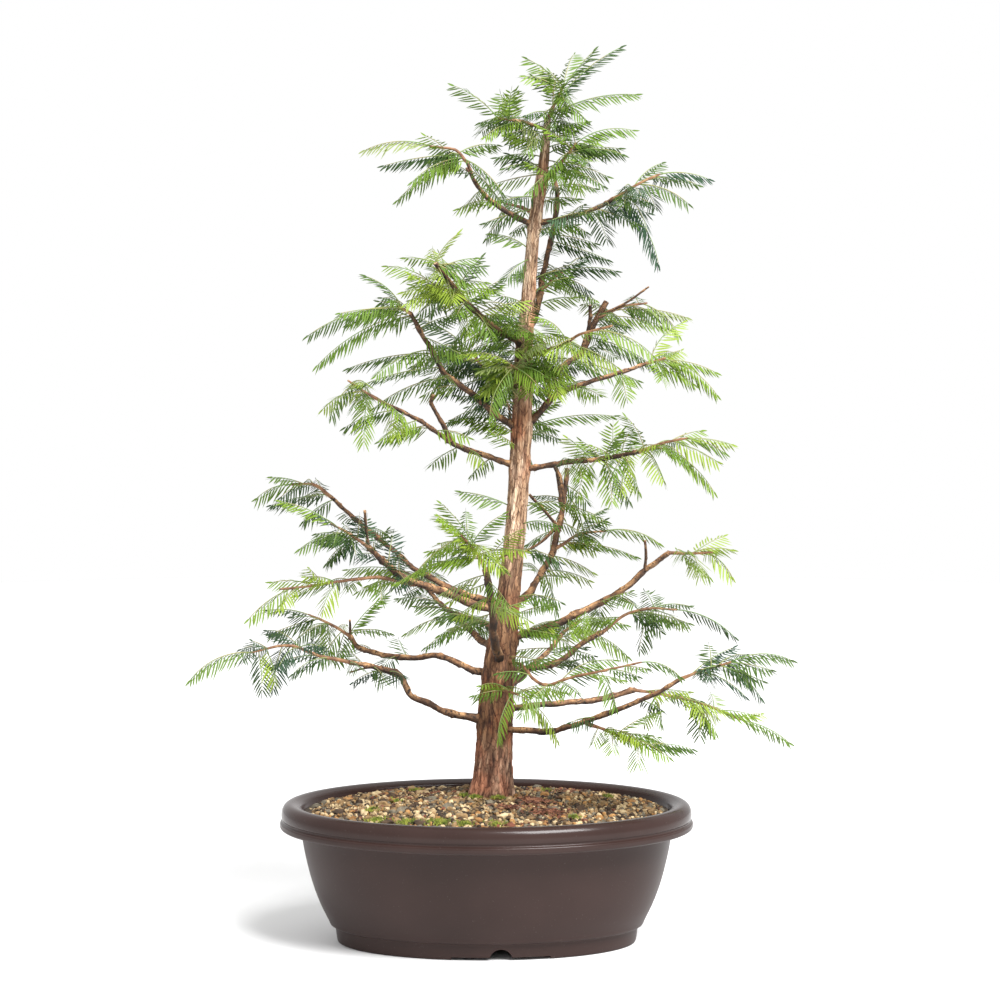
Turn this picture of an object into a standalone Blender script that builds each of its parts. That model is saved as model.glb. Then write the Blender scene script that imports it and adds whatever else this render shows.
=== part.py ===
"""A dawn redwood trained as a bonsai, in an oval plastic pot filled with grit.

+X is the tree's right, +Y its back and +Z up. The origin is the middle of the flat pad under the
pot. Sizes in the tables are millimetres and angles are degrees: an azimuth turns from +X towards
+Y, and a pitch rises from level. MM turns a size into metres.
"""

import math
import random

import bmesh
import bpy
from mathutils import Vector
from mathutils.bvhtree import BVHTree

MM = 0.001
GAP = 0.3 * MM  # clear space between neighbouring sub-parts
UP = Vector((0, 0, 1))
SMOOTH_ANGLE = 40

# Pot: oval rings, each (half length, height). Every ring is OVAL shorter across than along.
POT_SIDES = 36
OVAL = 55
POT_OUTSIDE = (
    (145, 0), (147, 16), (152, 18), (161.5, 37), (170, 60), (176.5, 87), (180, 109),
    (194, 111), (199, 117), (200, 126), (197, 133), (190, 136),
)
POT_INSIDE = ((181, 135), (177, 130), (174, 100), (166, 60), (157, 37), (142, 15.5))
POT_UNDERSIDE = ((135, 12), (137, 0))  # the hollow inside the foot ring
PAD_HALF_LENGTH = 75
PAD_TOP = 12
NOTCH_X = 14  # the drain notches sit a little to the right of the middle, front and back
NOTCH_RADIUS = 11
NOTCH_Y = 88
NOTCH_DEPTH = 14  # the cutters reach this far either way through the foot ring
RECESS_HALF_LENGTH = 47
RECESS_HEIGHT = 3
DRAIN_RADIUS = 8
CUTTER_SIDES = 16
DRAINS = ((92, 22), (92, -22), (-92, 22), (-92, -22))

# Grit: fills the pot and rises to a level spot at the foot of the trunk.
FILL_HEIGHT = 130
GRIT_RINGS = ((0.93, 1.5), (0.8, 3.5), (0.62, 5.5), (0.44, 7.2), (0.3, 8.2))  # (share of pot, rise)
GRIT_ROUGHNESS = 0.9
GRIT_SEED = 3
GRIT_CLEAR = 0.5  # between the grit and the pot
LEVEL_SPOT = (40, 33)
STONES = 48  # the larger stones that stand out of the grit
STONE_SEED = 4
STONE_RADIUS = (4.8, 7.2)
STONE_RISE = (1.2, 2.2)
STONE_ROOT = 3  # how deep a stone reaches into the grit
STONE_TOP = 0.6  # the share of its radius that its flat top keeps
STONE_SIDES = 4
STONE_APART = 23
STONE_TO_TRUNK = 40  # between a stone's middle and the trunk's
STONE_REACH = 0.93  # the share of the pot's opening that holds stones

# Trunk: (height above the grit, x, radius).
TRUNK_FOOT = 138.5
TRUNK_Y = 35
TRUNK_SIDES = 14
TRUNK = (
    (0, 3.2, 21.7), (17, 6, 18.7), (52, 7.6, 17), (92, 9.1, 16.4), (141, 14, 14.5),
    (190, 20.8, 11.1), (213, 23.2, 10.4), (259, 28.1, 9.8), (308, 31.5, 9.7), (353, 33.9, 9.7),
    (405, 35.3, 9.2), (425, 35.8, 8.5), (454, 37.7, 7.7), (483, 40.6, 6.8), (512, 42.5, 6.3),
    (541, 44.9, 5.9), (570, 48.4, 6.1), (589, 51.6, 6.0), (618, 55.5, 4.7), (639, 57.9, 3.7),
    (657, 58.8, 2.9),
)
ROOT_LOBES = 5
ROOT_LOBE_SIZE = 0.1
ROOT_LOBE_FADE = 26
ROOT_LOBE_TURN = 40
WALL_STEP = 5  # the height over which the trunk's slope is taken

# Boughs: (name, parent, place, foot radius, tip radius, legs). A place on the trunk is a height
# above the grit, and a place on a bough is a share of its length. A leg is (length, azimuth, pitch).
BOUGH_SIDES = 6
COLLAR = 1.35  # a limb swells by this much where it leaves the trunk
COLLAR_LENGTH = 1.6  # in radii of the limb
SEAT = 0.5  # the facets of the trunk stand this much off its true wall, gap included
BOUGHS = (
    ("left_low", "trunk", 70, 3.9, 2.4,
     ((45, 191, 13), (31, 196, 25), (16, 197, 28), (21, 192, 63), (25, 195, 20), (27, 198, 13))),
    ("left_low_back", "trunk", 116, 3.3, 2.6,
     ((33, 158, 10), (30, 155, 20), (25, 161, -5), (29, 164, 0), (31, 169, 13), (16, 169, 49))),
    ("left_mid_low", "trunk", 176, 4.2, 2.8,
     ((47, 196, 20), (25, 201, 23), (37, 197, 20), (26, 203, 38), (23, 200, 43))),
    ("left_mid_low_upper", "trunk", 184, 3.6, 1.9,
     ((50, 156, 13), (51, 158, 23), (30, 161, 37), (32, 166, 37), (28, 164, 38), (25, 167, 42))),
    ("front_low", "trunk", 124, 4.4, 3.2, ((52, 263, 39), (52, 265, 54), (38, 256, 54))),
    ("left_mid", "trunk", 356, 3.4, 2.0,
     ((22, 198, 30), (44, 204, 38), (31, 204, 35), (25, 206, 57), (25, 206, 57), (19, 205, 60))),
    ("left_hanging", "trunk", 320, 3.0, 1.6,
     ((41, 195, 20), (29, 202, 19), (19, 209, 32), (28, 206, 33), (40, 199, 26))),
    ("left_pruned", "trunk", 438, 3.2, 2.2,
     ((41, 232, 22), (37, 220, 32), (32, 220, 41), (35, 221, 45))),
    ("left_high", "trunk", 554, 2.9, 1.7,
     ((24, 196, 24), (26, 196, 33), (14, 192, 44), (15, 195, 57), (15, 203, 70))),
    ("right_low", "trunk", 64, 3.3, 2.0,
     ((44, 333, 1), (21, 325, 5), (53, 336, 19), (60, 339, 24), (29, 341, 32))),
    ("right_low_cut", "trunk", 82, 3.0, 2.8,
     ((43, 11, 5), (40, 17, 2), (26, 23, 3), (35, 14, 13))),
    ("right_low_back", "trunk", 120, 3.4, 2.4,
     ((51, 26, 3), (21, 35, 14), (30, 32, 30), (23, 29, 23))),
    ("right_mid_low", "trunk", 151, 4.4, 2.6,
     ((39, 12, 13), (27, 9, 23), (56, 9, 25), (43, 7, 39), (22, 0, 36))),
    ("right_rising", "trunk", 182, 3.9, 2.4,
     ((36, 50, 19), (17, 55, 44), (28, 45, 46), (30, 56, 62), (31, 59, 68), (34, 66, 74))),
    ("right_mid", "trunk", 318, 3.0, 1.9,
     ((36, 344, 9), (15, 345, 12), (36, 340, 6), (36, 340, 12))),
    ("right_mid_high", "trunk", 358, 3.5, 1.7,
     ((25, 18, 38), (19, 19, 49), (19, 7, 27), (19, 6, 18), (43, 8, 17), (17, 14, 19))),
    ("right_pruned", "trunk", 400, 3.2, 2.8,
     ((38, 37, 16), (21, 39, 26), (21, 34, 32), (18, 41, 59), (21, 27, 64), (18, 24, 56))),
    ("right_high", "trunk", 557, 2.8, 1.9,
     ((21, 349, 8), (11, 339, 10), (31, 344, 18), (23, 343, 27))),
    ("back_leader", "trunk", 446, 3.2, 2.4,
     ((39, 65, 43), (36, 59, 71), (33, 41, 74), (29, 34, 76), (24, 64, 85))),
    ("back_left_low", "trunk", 138, 3.6, 2.2,
     ((50, 118, 12), (45, 122, 22), (40, 116, 14), (35, 120, 26))),
    ("back_right_low", "trunk", 98, 3.6, 2.2,
     ((50, 66, 8), (45, 62, 18), (40, 70, 10), (35, 64, 24))),
)

# Foliage: each mass has one stem, which carries on from its parent in legs like a bough's. Sprays
# that set the crown's outline stand at chosen places on it, each (share of the stem, azimuth,
# pitch, length), and the growing rule adds side sprays.
# (name, parent, place, legs, colour, side sprays, their length, outline sprays)
MASSES = (
    ("left_low_foliage", "left_low", 1, ((32, 195, 14), (31, 196, 20), (37, 193, -9)),
     "dark", 3, 62, ((1, 192, 6, 72), (0.85, 300, -31, 42), (0.5, 141, 45, 56), (0.2, 221, 10, 48))),
    ("left_low_back_foliage", "left_low_back", 1, ((24, 161, 28), (25, 163, 21)),
     "green", 1, 55, ((0.07, 339, 23, 60), (0.03, 36, 56, 64), (0.93, 157, 18, 56), (0.5, 218, 3, 54))),
    ("left_mid_low_foliage", "left_mid_low", 1, ((23, 205, 35), (23, 203, 29)),
     "dark", 2, 55, ((0.9, 190, 40, 60), (0.5, 205, 12, 58), (0.3, 160, -12, 44), (0.03, 330, 16, 50))),
    ("left_trailing_foliage", "left_mid_low", 0.62,
     ((30, 192, 7), (30, 196, -2), (44, 196, -7), (26, 193, -4)),
     "bright", 1, 42, ((0.9, 196, -18, 56), (0.55, 230, -26, 38), (0.25, 285, -25, 34))),
    ("left_mid_low_upper_foliage", "left_mid_low_upper", 1, ((21, 173, 35), (24, 175, 0)),
     "green", 1, 45, ((0.9, 175, 5, 44), (0.17, 120, 5, 50), (0.5, 230, 10, 50))),
    ("left_inner_low_foliage", "trunk", 159, ((59, 122, 7), (44, 114, 3)),
     "green", 2, 62, ((1, 158, 7, 62), (0.33, 191, -16, 66), (0.55, 95, 5, 60))),
    ("front_low_foliage", "front_low", 1, ((20, 241, 47), (31, 224, 43)),
     "bright", 1, 62, ((0.4, 207, 66, 70), (0.3, 187, 4, 88), (0.05, 310, 55, 70), (0.4, 320, 22, 66),
                       (1, 228, 45, 42))),
    ("left_mid_foliage", "left_mid", 1, ((16, 206, 30),),
     "green", 1, 58, ((0.9, 191, 1, 99), (0.1, 195, -6, 122), (0.6, 200, 64, 52), (0.1, 95, 30, 62))),
    ("left_inner_mid_foliage", "trunk", 392, ((43, 149, 26), (42, 123, 32)),
     "dark", 2, 62, ((1, 160, 45, 78), (0.55, 215, 12, 56), (0.8, 60, 40, 62), (0.9, 185, 15, 66))),
    ("left_hanging_foliage", "left_hanging", 1, ((22, 199, 30), (18, 199, 34)),
     "bright", 1, 55, ((0.8, 214, -20, 44), (0.4, 258, -46, 56), (0.17, 322, -12, 56),
                       (0.02, 262, -40, 72))),
    ("left_pruned_foliage", "left_pruned", 0.5, ((26, 186, 40), (22, 176, 24)),
     "bright", 2, 60, ((1, 160, 40, 56), (0.45, 183, 19, 66), (0.12, 337, 30, 58), (0.2, 279, -30, 44))),
    ("left_high_foliage", "left_high", 1, ((18, 198, 43), (25, 194, 8)),
     "green", 1, 54, ((0.95, 187, 20, 70), (0.02, 187, 9, 86), (0.05, 206, 0, 50),
                      (0.12, 319, -16, 60), (0.3, 28, 31, 48))),
    ("left_top_foliage", "trunk", 566, ((18, 160, 22), (16, 172, 12)),
     "bright", 1, 50, ((0.9, 205, 20, 54), (0.3, 215, -12, 66), (0.5, 110, 35, 50))),
    ("top_left_foliage", "trunk", 647, ((27, 197, 16), (24, 199, 6)),
     "green", 1, 46, ((1, 192, 52, 58), (0.4, 220, 5, 54), (0.95, 70, 62, 46), (0.6, 130, 25, 46))),
    ("top_foliage", "trunk_tip", 1, ((18, 0, 64), (18, 27, 61)),
     "green", 1, 44, ((0.3, 356, 58, 96), (1, 60, 76, 46), (0.75, 200, 53, 42), (0.05, 350, 32, 96),
                      (0.15, 235, 15, 50))),
    ("top_right_foliage", "trunk", 594, ((19, 319, 34), (17, 328, 48), (20, 335, 50)),
     "green", 1, 50, ((1, 351, 40, 62), (0.75, 345, 20, 58), (0.85, 28, 17, 48), (0.55, 303, -17, 46))),
    ("right_high_foliage", "right_high", 1, ((25, 344, 30), (22, 350, 24)),
     "dark", 2, 56, ((1, 356, 12, 50), (0.5, 338, 1, 60), (0.15, 312, -26, 54), (0.03, 0, -38, 86),
                     (0.4, 40, 52, 48))),
    ("back_leader_foliage", "back_leader", 1, ((15, 116, 70), (16, 45, 60)),
     "green", 1, 46, ((0.1, 329, 12, 46), (0.9, 13, 30, 50), (0.5, 141, 30, 48))),
    ("back_leader_low_foliage", "back_leader", 0.35, ((20, 30, 30), (16, 40, 20)),
     "dark", 1, 50, ((0.8, 350, 20, 56), (0.9, 60, 40, 50), (0.5, 151, 16, 50))),
    ("right_mid_high_foliage", "right_mid_high", 1, ((20, 352, 16),),
     "bright", 1, 50, ((0.9, 346, -11, 70), (0.2, 31, 76, 58), (0.1, 60, 30, 56))),
    ("right_upright_foliage", "right_mid_high", 0.22,
     ((27, 264, 45), (21, 231, 68), (18, 283, 77)),
     "bright", 0, 52, ((0.57, 285, -6, 50), (0.97, 334, 16, 56), (1, 205, 37, 54))),
    ("right_pruned_foliage", "right_pruned", 0.88, ((26, 4, 18), (24, 10, 8)),
     "green", 1, 56, ((0.9, 350, -16, 54), (0.3, 352, 2, 96), (0.2, 149, 40, 62), (0.5, 60, 10, 54))),
    ("right_crossing_foliage", "trunk", 426, ((51, 324, 18), (21, 321, 25), (36, 328, 14)),
     "bright", 1, 54, ((0.78, 345, 4, 70), (0.42, 351, -8, 60), (0.45, 234, 55, 50))),
    ("right_mid_foliage", "right_mid", 1, ((27, 341, 20), (22, 349, 12)),
     "bright", 1, 60, ((1, 350, -6, 40), (0.42, 345, -20, 76), (0.15, 285, -13, 62), (0.05, 160, 40, 52),
                       (0.1, 240, 62, 50), (0.3, 60, 20, 60))),
    ("right_rising_foliage", "right_rising", 0.5, ((30, 8, 24), (26, 8, 6)),
     "bright", 1, 58, ((0.95, 5, 14, 62), (0.15, 350, 5, 78), (0.35, 50, 50, 54))),
    ("right_mid_low_foliage", "right_mid_low", 1, ((25, 355, 0), (19, 354, 4)),
     "bright", 1, 42, ((0.9, 343, -25, 36), (0.25, 26, -20, 46), (0.5, 346, 25, 44))),
    ("right_low_back_foliage", "right_low_back", 1, ((30, 16, 34), (26, 13, 12), (27, 13, -4)),
     "green", 1, 56, ((1, 5, -4, 70), (0.72, 220, -40, 50), (0.3, 180, 5, 56), (0.55, 40, 5, 64))),
    ("right_low_front_foliage", "trunk", 134,
     ((40, 305, -7), (23, 295, -22), (20, 313, -14), (26, 340, 20), (39, 341, 14), (32, 345, 14)),
     "green", 1, 44, ((1, 345, 10, 44), (0.75, 311, -40, 42), (0.42, 215, -20, 46), (0.5, 10, 50, 60))),
    ("right_low_cut_foliage", "right_low_cut", 1, ((29, 8, -10), (42, 9, -14), (42, 10, -24)),
     "bright", 1, 40, ((1, 3, -9, 60), (0.5, 345, -25, 46), (0.23, 131, -30, 42))),
    ("right_low_foliage", "right_low", 1, ((27, 346, 22), (25, 350, 18)),
     "dark", 2, 56, ((1, 352, 30, 64), (0.8, 336, -14, 54), (0.42, 333, -7, 56), (0.2, 25, 40, 60))),
    ("right_low_side_foliage", "right_low", 0.45, ((30, 316, -15), (35, 327, -18)),
     "bright", 1, 46, ((1, 345, 14, 56), (0.9, 320, -44, 42), (0.6, 80, 10, 42), (0.57, 15, 40, 50))),
    ("front_mid_foliage", "trunk", 410, ((30, 261, 12), (22, 250, 14)),
     "bright", 1, 60, ((0.9, 205, 40, 58), (0.72, 330, -8, 54), (0.82, 210, -36, 60), (0.7, 315, 55, 54))),
    ("front_low_right_foliage", "trunk", 104, ((30, 288, 2), (24, 297, -2)),
     "bright", 0, 50, ((1, 340, -20, 64), (0.7, 235, -36, 54), (0.93, 334, 31, 50), (0.55, 226, 40, 48))),
    ("back_left_low_foliage", "back_left_low", 1, ((26, 126, 18), (22, 112, 4)),
     "green", 5, 66, ((1, 118, 12, 62),)),
    ("back_right_low_foliage", "back_right_low", 1, ((26, 58, 16), (22, 72, 4)),
     "green", 5, 66, ((1, 64, 12, 62),)),
    ("back_mid_foliage", "trunk", 338, ((44, 102, 24), (36, 96, 34), (30, 100, 16)),
     "green", 5, 66, ((1, 98, 18, 62),)),
)

# Growing rule for the side sprays.
STEM_SIDES = 3
STEM_RADIUS = 1.9
STEM_TIP_RADIUS = 0.9
SPREAD = (38, 72)  # how far a side spray turns from its stem
LIFT = (-6, 24)  # the pitch that it starts at
DROOP = (30, 62)  # how far it bends down towards its tip
SWAY = (-18, 18)  # how far it bends sideways
ROLL = (-28, 28)  # how far its blade leans
LENGTH_SPREAD = (0.8, 1.15)
FIRST_SIDE_SHARE = 0.12  # the share of the stem where side sprays begin
FOLIAGE_SEED = 100
TRIES = 12  # a spray that would touch a neighbour is drawn again this many times, then skipped
TURN_PER_TRY = 5  # degrees more freedom at each new try
SHRINK_PER_TRY = 0.03
CROWN_FOOT = (175, 300)  # (height, radius) of the space that the foliage keeps to
CROWN_TOP = (880, 110)

# One spray: a three-sided rib whose flanks stand out in teeth, each a bunch of needles.
TOOTH_PITCH = 19
FEWEST_TEETH = 3
BARE_SHARE = 0.14  # the share of a spray's length that is bare twig
RIB_FOOT = 2.6
RIB_TIP = 1.2
NEEDLE = 23
NEEDLE_FORWARD = 56  # between the rib and a needle
NEEDLE_SAG = 26  # how far the rows of needles hang below the blade's plane
FOOT_NEEDLE = 0.8  # the first and last needles' lengths, as shares of the longest
TIP_NEEDLE = 0.5
LONGEST_AT = 0.4  # where the longest needles are, as a share of the leafy stretch
LEAFY_END = 0.96  # the last tooth stops short of the rib's tip
ARCH_STEPS = 12

COLOURS = {
    "pot_plastic": ((0.068, 0.047, 0.044), 0.42),
    "grit_stone": ((0.42, 0.31, 0.21), 0.9),
    "trunk_bark": ((0.30, 0.15, 0.085), 0.85),
    "bough_bark": ((0.22, 0.11, 0.06), 0.8),
    "needles_bright": ((0.26, 0.46, 0.08), 0.6),
    "needles_green": ((0.15, 0.34, 0.09), 0.6),
    "needles_dark": ((0.07, 0.2, 0.1), 0.6),
}


def heading(azimuth, pitch):
    """The unit vector at this azimuth and pitch."""
    level = math.cos(math.radians(pitch))
    return Vector((
        level * math.cos(math.radians(azimuth)),
        level * math.sin(math.radians(azimuth)),
        math.sin(math.radians(pitch)),
    ))


def material(name):
    """A plain material with one of the COLOURS."""
    made = bpy.data.materials.get(name)
    if made is None:
        colour, roughness = COLOURS[name]
        made = bpy.data.materials.new(name)
        made.use_nodes = True
        shader = made.node_tree.nodes["Principled BSDF"]
        shader.inputs["Base Color"].default_value = (*colour, 1)
        shader.inputs["Roughness"].default_value = roughness
        made.diffuse_color = (*colour, 1)
    return made


def add_object(name, shape, material_name, collection=None):
    """A named object from (vertices, faces)."""
    mesh = bpy.data.meshes.new(name)
    vertices, faces = shape
    mesh.from_pydata(vertices, [], faces)
    mesh.materials.append(material(material_name))
    made = bpy.data.objects.new(name, mesh)
    (collection or bpy.context.scene.collection).objects.link(made)
    return made


def bridge(faces, first, second, sides):
    """Quads between two rings of vertices, given each ring's first index."""
    for k in range(sides):
        after = (k + 1) % sides
        faces.append((first + k, first + after, second + after, second + k))


def stack(rings):
    """A closed shape through rings of equal count, which run anticlockwise as seen from ahead."""
    sides = len(rings[0])
    vertices = [point for ring in rings for point in ring]
    faces = [tuple(reversed(range(sides)))]
    for k in range(len(rings) - 1):
        bridge(faces, k * sides, (k + 1) * sides, sides)
    faces.append(tuple(range((len(rings) - 1) * sides, len(rings) * sides)))
    return vertices, faces


# ---- pot and grit


def oval(half_length, half_width, height, centre=(0, 0)):
    """A level ring of points. Sizes are millimetres."""
    ring = []
    for k in range(POT_SIDES):
        turn = 2 * math.pi * k / POT_SIDES
        x = centre[0] + half_length * math.cos(turn)
        y = centre[1] + half_width * math.sin(turn)
        ring.append(Vector((x, y, height)) * MM)
    return ring


def pot_ring(half_length, height):
    """A ring of the pot, narrower across than along by OVAL."""
    return oval(half_length, half_length - OVAL, height)


def cutter(name, shape):
    """A helper for a Boolean: seen as a wire, and left out of the model."""
    made = add_object(name, shape, "pot_plastic")
    made.display_type = "WIRE"
    made.hide_render = True
    return made


def rod_shape(radius, start, end):
    """A closed cylinder between two points."""
    along = (end - start).normalized()
    side = along.orthogonal().normalized()
    return stack([circle(point, along, side, radius, CUTTER_SIDES) for point in (start, end)])


def block_shape(low, high):
    """A closed box between two corners, in millimetres."""
    corners = ((0, 0), (1, 0), (1, 1), (0, 1))
    pair = (low, high)
    rings = []
    for z in (low[2], high[2]):
        rings.append([Vector((pair[i][0], pair[j][1], z)) * MM for i, j in corners])
    return stack(rings)


def make_pot():
    """The vessel, with a hollow under it, a central pad, drain notches and drain holes."""
    rings = [
        oval(PAD_HALF_LENGTH, PAD_HALF_LENGTH - OVAL, 0),
        oval(PAD_HALF_LENGTH, PAD_HALF_LENGTH - OVAL, PAD_TOP),
    ]
    rings += [pot_ring(*station) for station in POT_UNDERSIDE + POT_OUTSIDE + POT_INSIDE]
    pot = add_object("pot", stack(rings), "pot_plastic")
    cutters = []
    for middle in (-NOTCH_Y, NOTCH_Y):
        front = middle - NOTCH_DEPTH
        back = middle + NOTCH_DEPTH
        start = Vector((NOTCH_X, front, 0)) * MM
        end = Vector((NOTCH_X, back, 0)) * MM
        cutters.append(cutter("notch", rod_shape(NOTCH_RADIUS * MM, start, end)))
        low = (NOTCH_X - RECESS_HALF_LENGTH, front, -RECESS_HEIGHT)
        high = (NOTCH_X + RECESS_HALF_LENGTH, back, RECESS_HEIGHT)
        cutters.append(cutter("recess", block_shape(low, high)))
    floor_top = POT_INSIDE[-1][1]
    for x, y in DRAINS:
        start = Vector((x, y, PAD_TOP / 2)) * MM
        end = Vector((x, y, floor_top + PAD_TOP / 2)) * MM
        cutters.append(cutter("drain", rod_shape(DRAIN_RADIUS * MM, start, end)))
    for tool in cutters:
        cut = pot.modifiers.new("cut", "BOOLEAN")
        cut.operation = "DIFFERENCE"
        cut.object = tool
    return pot


def mound_height(x, y):
    """The grit's height at a place, before its roughness. All are millimetres."""
    wall = POT_INSIDE[1][0] - GRIT_CLEAR
    outer_rise = 0
    for share, rise in GRIT_RINGS:
        x_off = x - TRUNK[0][1] * (1 - share)
        y_off = y - TRUNK_Y * (1 - share)
        if math.hypot(x_off / wall, y_off / (wall - OVAL)) > share:
            return FILL_HEIGHT + (outer_rise + rise) / 2
        outer_rise = rise
    return FILL_HEIGHT + outer_rise


def draw_stones():
    """Where the larger stones lie, each (x, y, radius, rise, turn), clear of one another."""
    rng = random.Random(STONE_SEED)
    reach = POT_INSIDE[1][0] * STONE_REACH
    stones = []
    while len(stones) < STONES:
        x = rng.uniform(-reach, reach)
        y = rng.uniform(-reach, reach)
        if math.hypot(x / reach, y / (reach - OVAL)) > 1:
            continue
        if math.hypot(x - TRUNK[0][1], y - TRUNK_Y) < STONE_TO_TRUNK:
            continue
        if any(math.hypot(x - other[0], y - other[1]) < STONE_APART for other in stones):
            continue
        turn = rng.uniform(0, 360)
        stones.append((x, y, rng.uniform(*STONE_RADIUS), rng.uniform(*STONE_RISE), turn))
    return stones


def stone_shape(x, y, radius, rise, turn):
    """A stone with sloping sides and a flat top, sunk into the grit."""
    height = mound_height(x, y)
    foot = Vector((x, y, height - STONE_ROOT)) * MM
    top = Vector((x, y, height + rise)) * MM
    side = heading(turn, 0)
    rings = [circle(foot, UP, side, radius * MM, STONE_SIDES)]
    rings.append(circle(top, UP, side, radius * STONE_TOP * MM, STONE_SIDES))
    return stack(rings)


def make_grit():
    """The grit, clear of the pot's inside, with a mound that is level at the trunk's foot."""
    rng = random.Random(GRIT_SEED)
    gap = GAP / MM
    inside = [station for station in reversed(POT_INSIDE) if station[1] < FILL_HEIGHT]
    rings = [pot_ring(half - GRIT_CLEAR, height + gap) for half, height in inside]
    wall = POT_INSIDE[1][0] - GRIT_CLEAR
    rings.append(pot_ring(wall, FILL_HEIGHT))
    for share, rise in GRIT_RINGS:
        centre = (TRUNK[0][1] * (1 - share), TRUNK_Y * (1 - share))
        ring = oval(wall * share, (wall - OVAL) * share, FILL_HEIGHT + rise, centre)
        for point in ring:
            point.z += rng.uniform(-GRIT_ROUGHNESS, GRIT_ROUGHNESS) * MM
        rings.append(ring)
    rings.append(oval(*LEVEL_SPOT, TRUNK_FOOT - gap, (TRUNK[0][1], TRUNK_Y)))
    stones = [stone_shape(*stone) for stone in draw_stones()]
    return fuse("grit", [stack(rings)] + stones, "grit_stone")


# ---- trunk and boughs


def trunk_at(height):
    """The trunk's centre and radius at a height above the grit, both in metres."""
    height = min(max(height, TRUNK[0][0]), TRUNK[-1][0])
    for low, high in zip(TRUNK, TRUNK[1:]):
        if height <= high[0]:
            break
    share = (height - low[0]) / (high[0] - low[0])
    x = low[1] + (high[1] - low[1]) * share
    radius = low[2] + (high[2] - low[2]) * share
    return Vector((x, TRUNK_Y, TRUNK_FOOT + height)) * MM, radius * MM


def trunk_wall(height, azimuth):
    """A point on the trunk's surface."""
    centre, radius = trunk_at(height)
    fade = math.exp(-height / ROOT_LOBE_FADE)
    lobe = math.cos(math.radians(ROOT_LOBES * azimuth + ROOT_LOBE_TURN))
    return centre + heading(azimuth, 0) * radius * (1 + ROOT_LOBE_SIZE * fade * lobe)


def make_trunk():
    """The whole trunk, with shallow root lobes at its foot."""
    rings = []
    for height, _, _ in TRUNK:
        ring = [trunk_wall(height, 360 * k / TRUNK_SIDES) for k in range(TRUNK_SIDES)]
        rings.append(ring)
    return add_object("trunk", stack(rings), "trunk_bark")


def circle(centre, ahead, side, radius, sides):
    """A ring of points round `centre`, anticlockwise as seen from ahead."""
    across = ahead.cross(side)
    ring = []
    for k in range(sides):
        turn = 2 * math.pi * k / sides
        ring.append(centre + (side * math.cos(turn) + across * math.sin(turn)) * radius)
    return ring


def limb_shape(points, facing, radii, sides):
    """A closed tapering limb through the points. Its foot lies square to `facing`."""
    along = [(after - before).normalized() for before, after in zip(points, points[1:])]
    ahead = [facing]
    ahead += [(a + b).normalized() for a, b in zip(along, along[1:])]
    ahead.append(along[-1])
    side = facing.orthogonal()
    rings = []
    for point, direction, radius in zip(points, ahead, radii):
        side = (side - direction * side.dot(direction)).normalized()
        rings.append(circle(point, direction, side, radius, sides))
    return stack(rings)


def along_limb(points, share):
    """The point and the direction at this share of a limb's length."""
    lengths = [(after - before).length for before, after in zip(points, points[1:])]
    left = share * sum(lengths)
    k = 0
    while left > lengths[k] and k < len(lengths) - 1:
        left -= lengths[k]
        k += 1
    point = points[k].lerp(points[k + 1], min(left / lengths[k], 1))
    return point, (points[k + 1] - points[k]).normalized()


def foot_of(limbs, parent, place, away):
    """Where a limb that heads `away` leaves its parent: (parent's centre, foot, facing)."""
    if parent == "trunk":
        azimuth = math.degrees(math.atan2(away.y, away.x))
        centre, radius = trunk_at(place)
        height = place + radius / MM * away.z / math.hypot(away.x, away.y)
        foot = trunk_wall(height, azimuth)
        rise = trunk_wall(height + WALL_STEP, azimuth) - trunk_wall(height - WALL_STEP, azimuth)
        facing = heading(azimuth + 90, 0).cross(rise).normalized()
        return centre, foot + facing * SEAT * MM, facing
    points, radii = limbs[parent]
    centre, along = along_limb(points, place)
    if place == 1:
        return centre, centre + along * GAP, along
    radius = radii[0] + (radii[-1] - radii[0]) * place
    facing = (away - along * away.dot(along)).normalized()
    return centre, centre + facing * (radius + GAP), facing


def limb_route(limbs, parent, place, legs, radius):
    """The points of a limb from its legs, with a collar near its foot, and its foot's facing."""
    centre, foot, facing = foot_of(limbs, parent, place, heading(*legs[0][1:]))
    ends = []
    for length, azimuth, pitch in legs:
        centre = centre + heading(azimuth, pitch) * length * MM
        ends.append(centre)
    collar = foot.lerp(ends[0], min(COLLAR_LENGTH * radius / (ends[0] - foot).length, 0.5))
    return [foot, collar] + ends, facing


def taper(points, radius, tip_radius, swell=1):
    """Radii from foot to tip, in proportion to length, with the foot swollen."""
    lengths = [0]
    for before, after in zip(points, points[1:]):
        lengths.append(lengths[-1] + (after - before).length)
    radii = [radius + (tip_radius - radius) * length / lengths[-1] for length in lengths]
    radii[0] *= swell
    return radii


def grow_boughs():
    """Makes each bough, and gives back every limb's route and radii by name."""
    tip, tip_radius = trunk_at(TRUNK[-1][0])
    below, _ = trunk_at(TRUNK[-2][0])
    limbs = {"trunk_tip": ([below, tip], [tip_radius, tip_radius])}
    shapes = []
    for name, parent, place, radius, tip_radius, legs in BOUGHS:
        points, facing = limb_route(limbs, parent, place, legs, radius * MM)
        radii = taper(points, radius * MM, tip_radius * MM, COLLAR)
        limbs[name] = (points, radii)
        shape = limb_shape(points, facing, radii, BOUGH_SIDES)
        add_object(name, shape, "bough_bark")
        shapes.append(shape)
    return limbs, shapes


# ---- foliage


def arch(start, azimuth, pitch, length, droop, sway):
    """Points of a spray's rib, which bends down and sideways along its length."""
    points = [start]
    for k in range(ARCH_STEPS):
        share = (k + 0.5) / ARCH_STEPS
        step = heading(azimuth + sway * share, pitch - droop * share)
        points.append(points[-1] + step * length / ARCH_STEPS)
    return points


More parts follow.
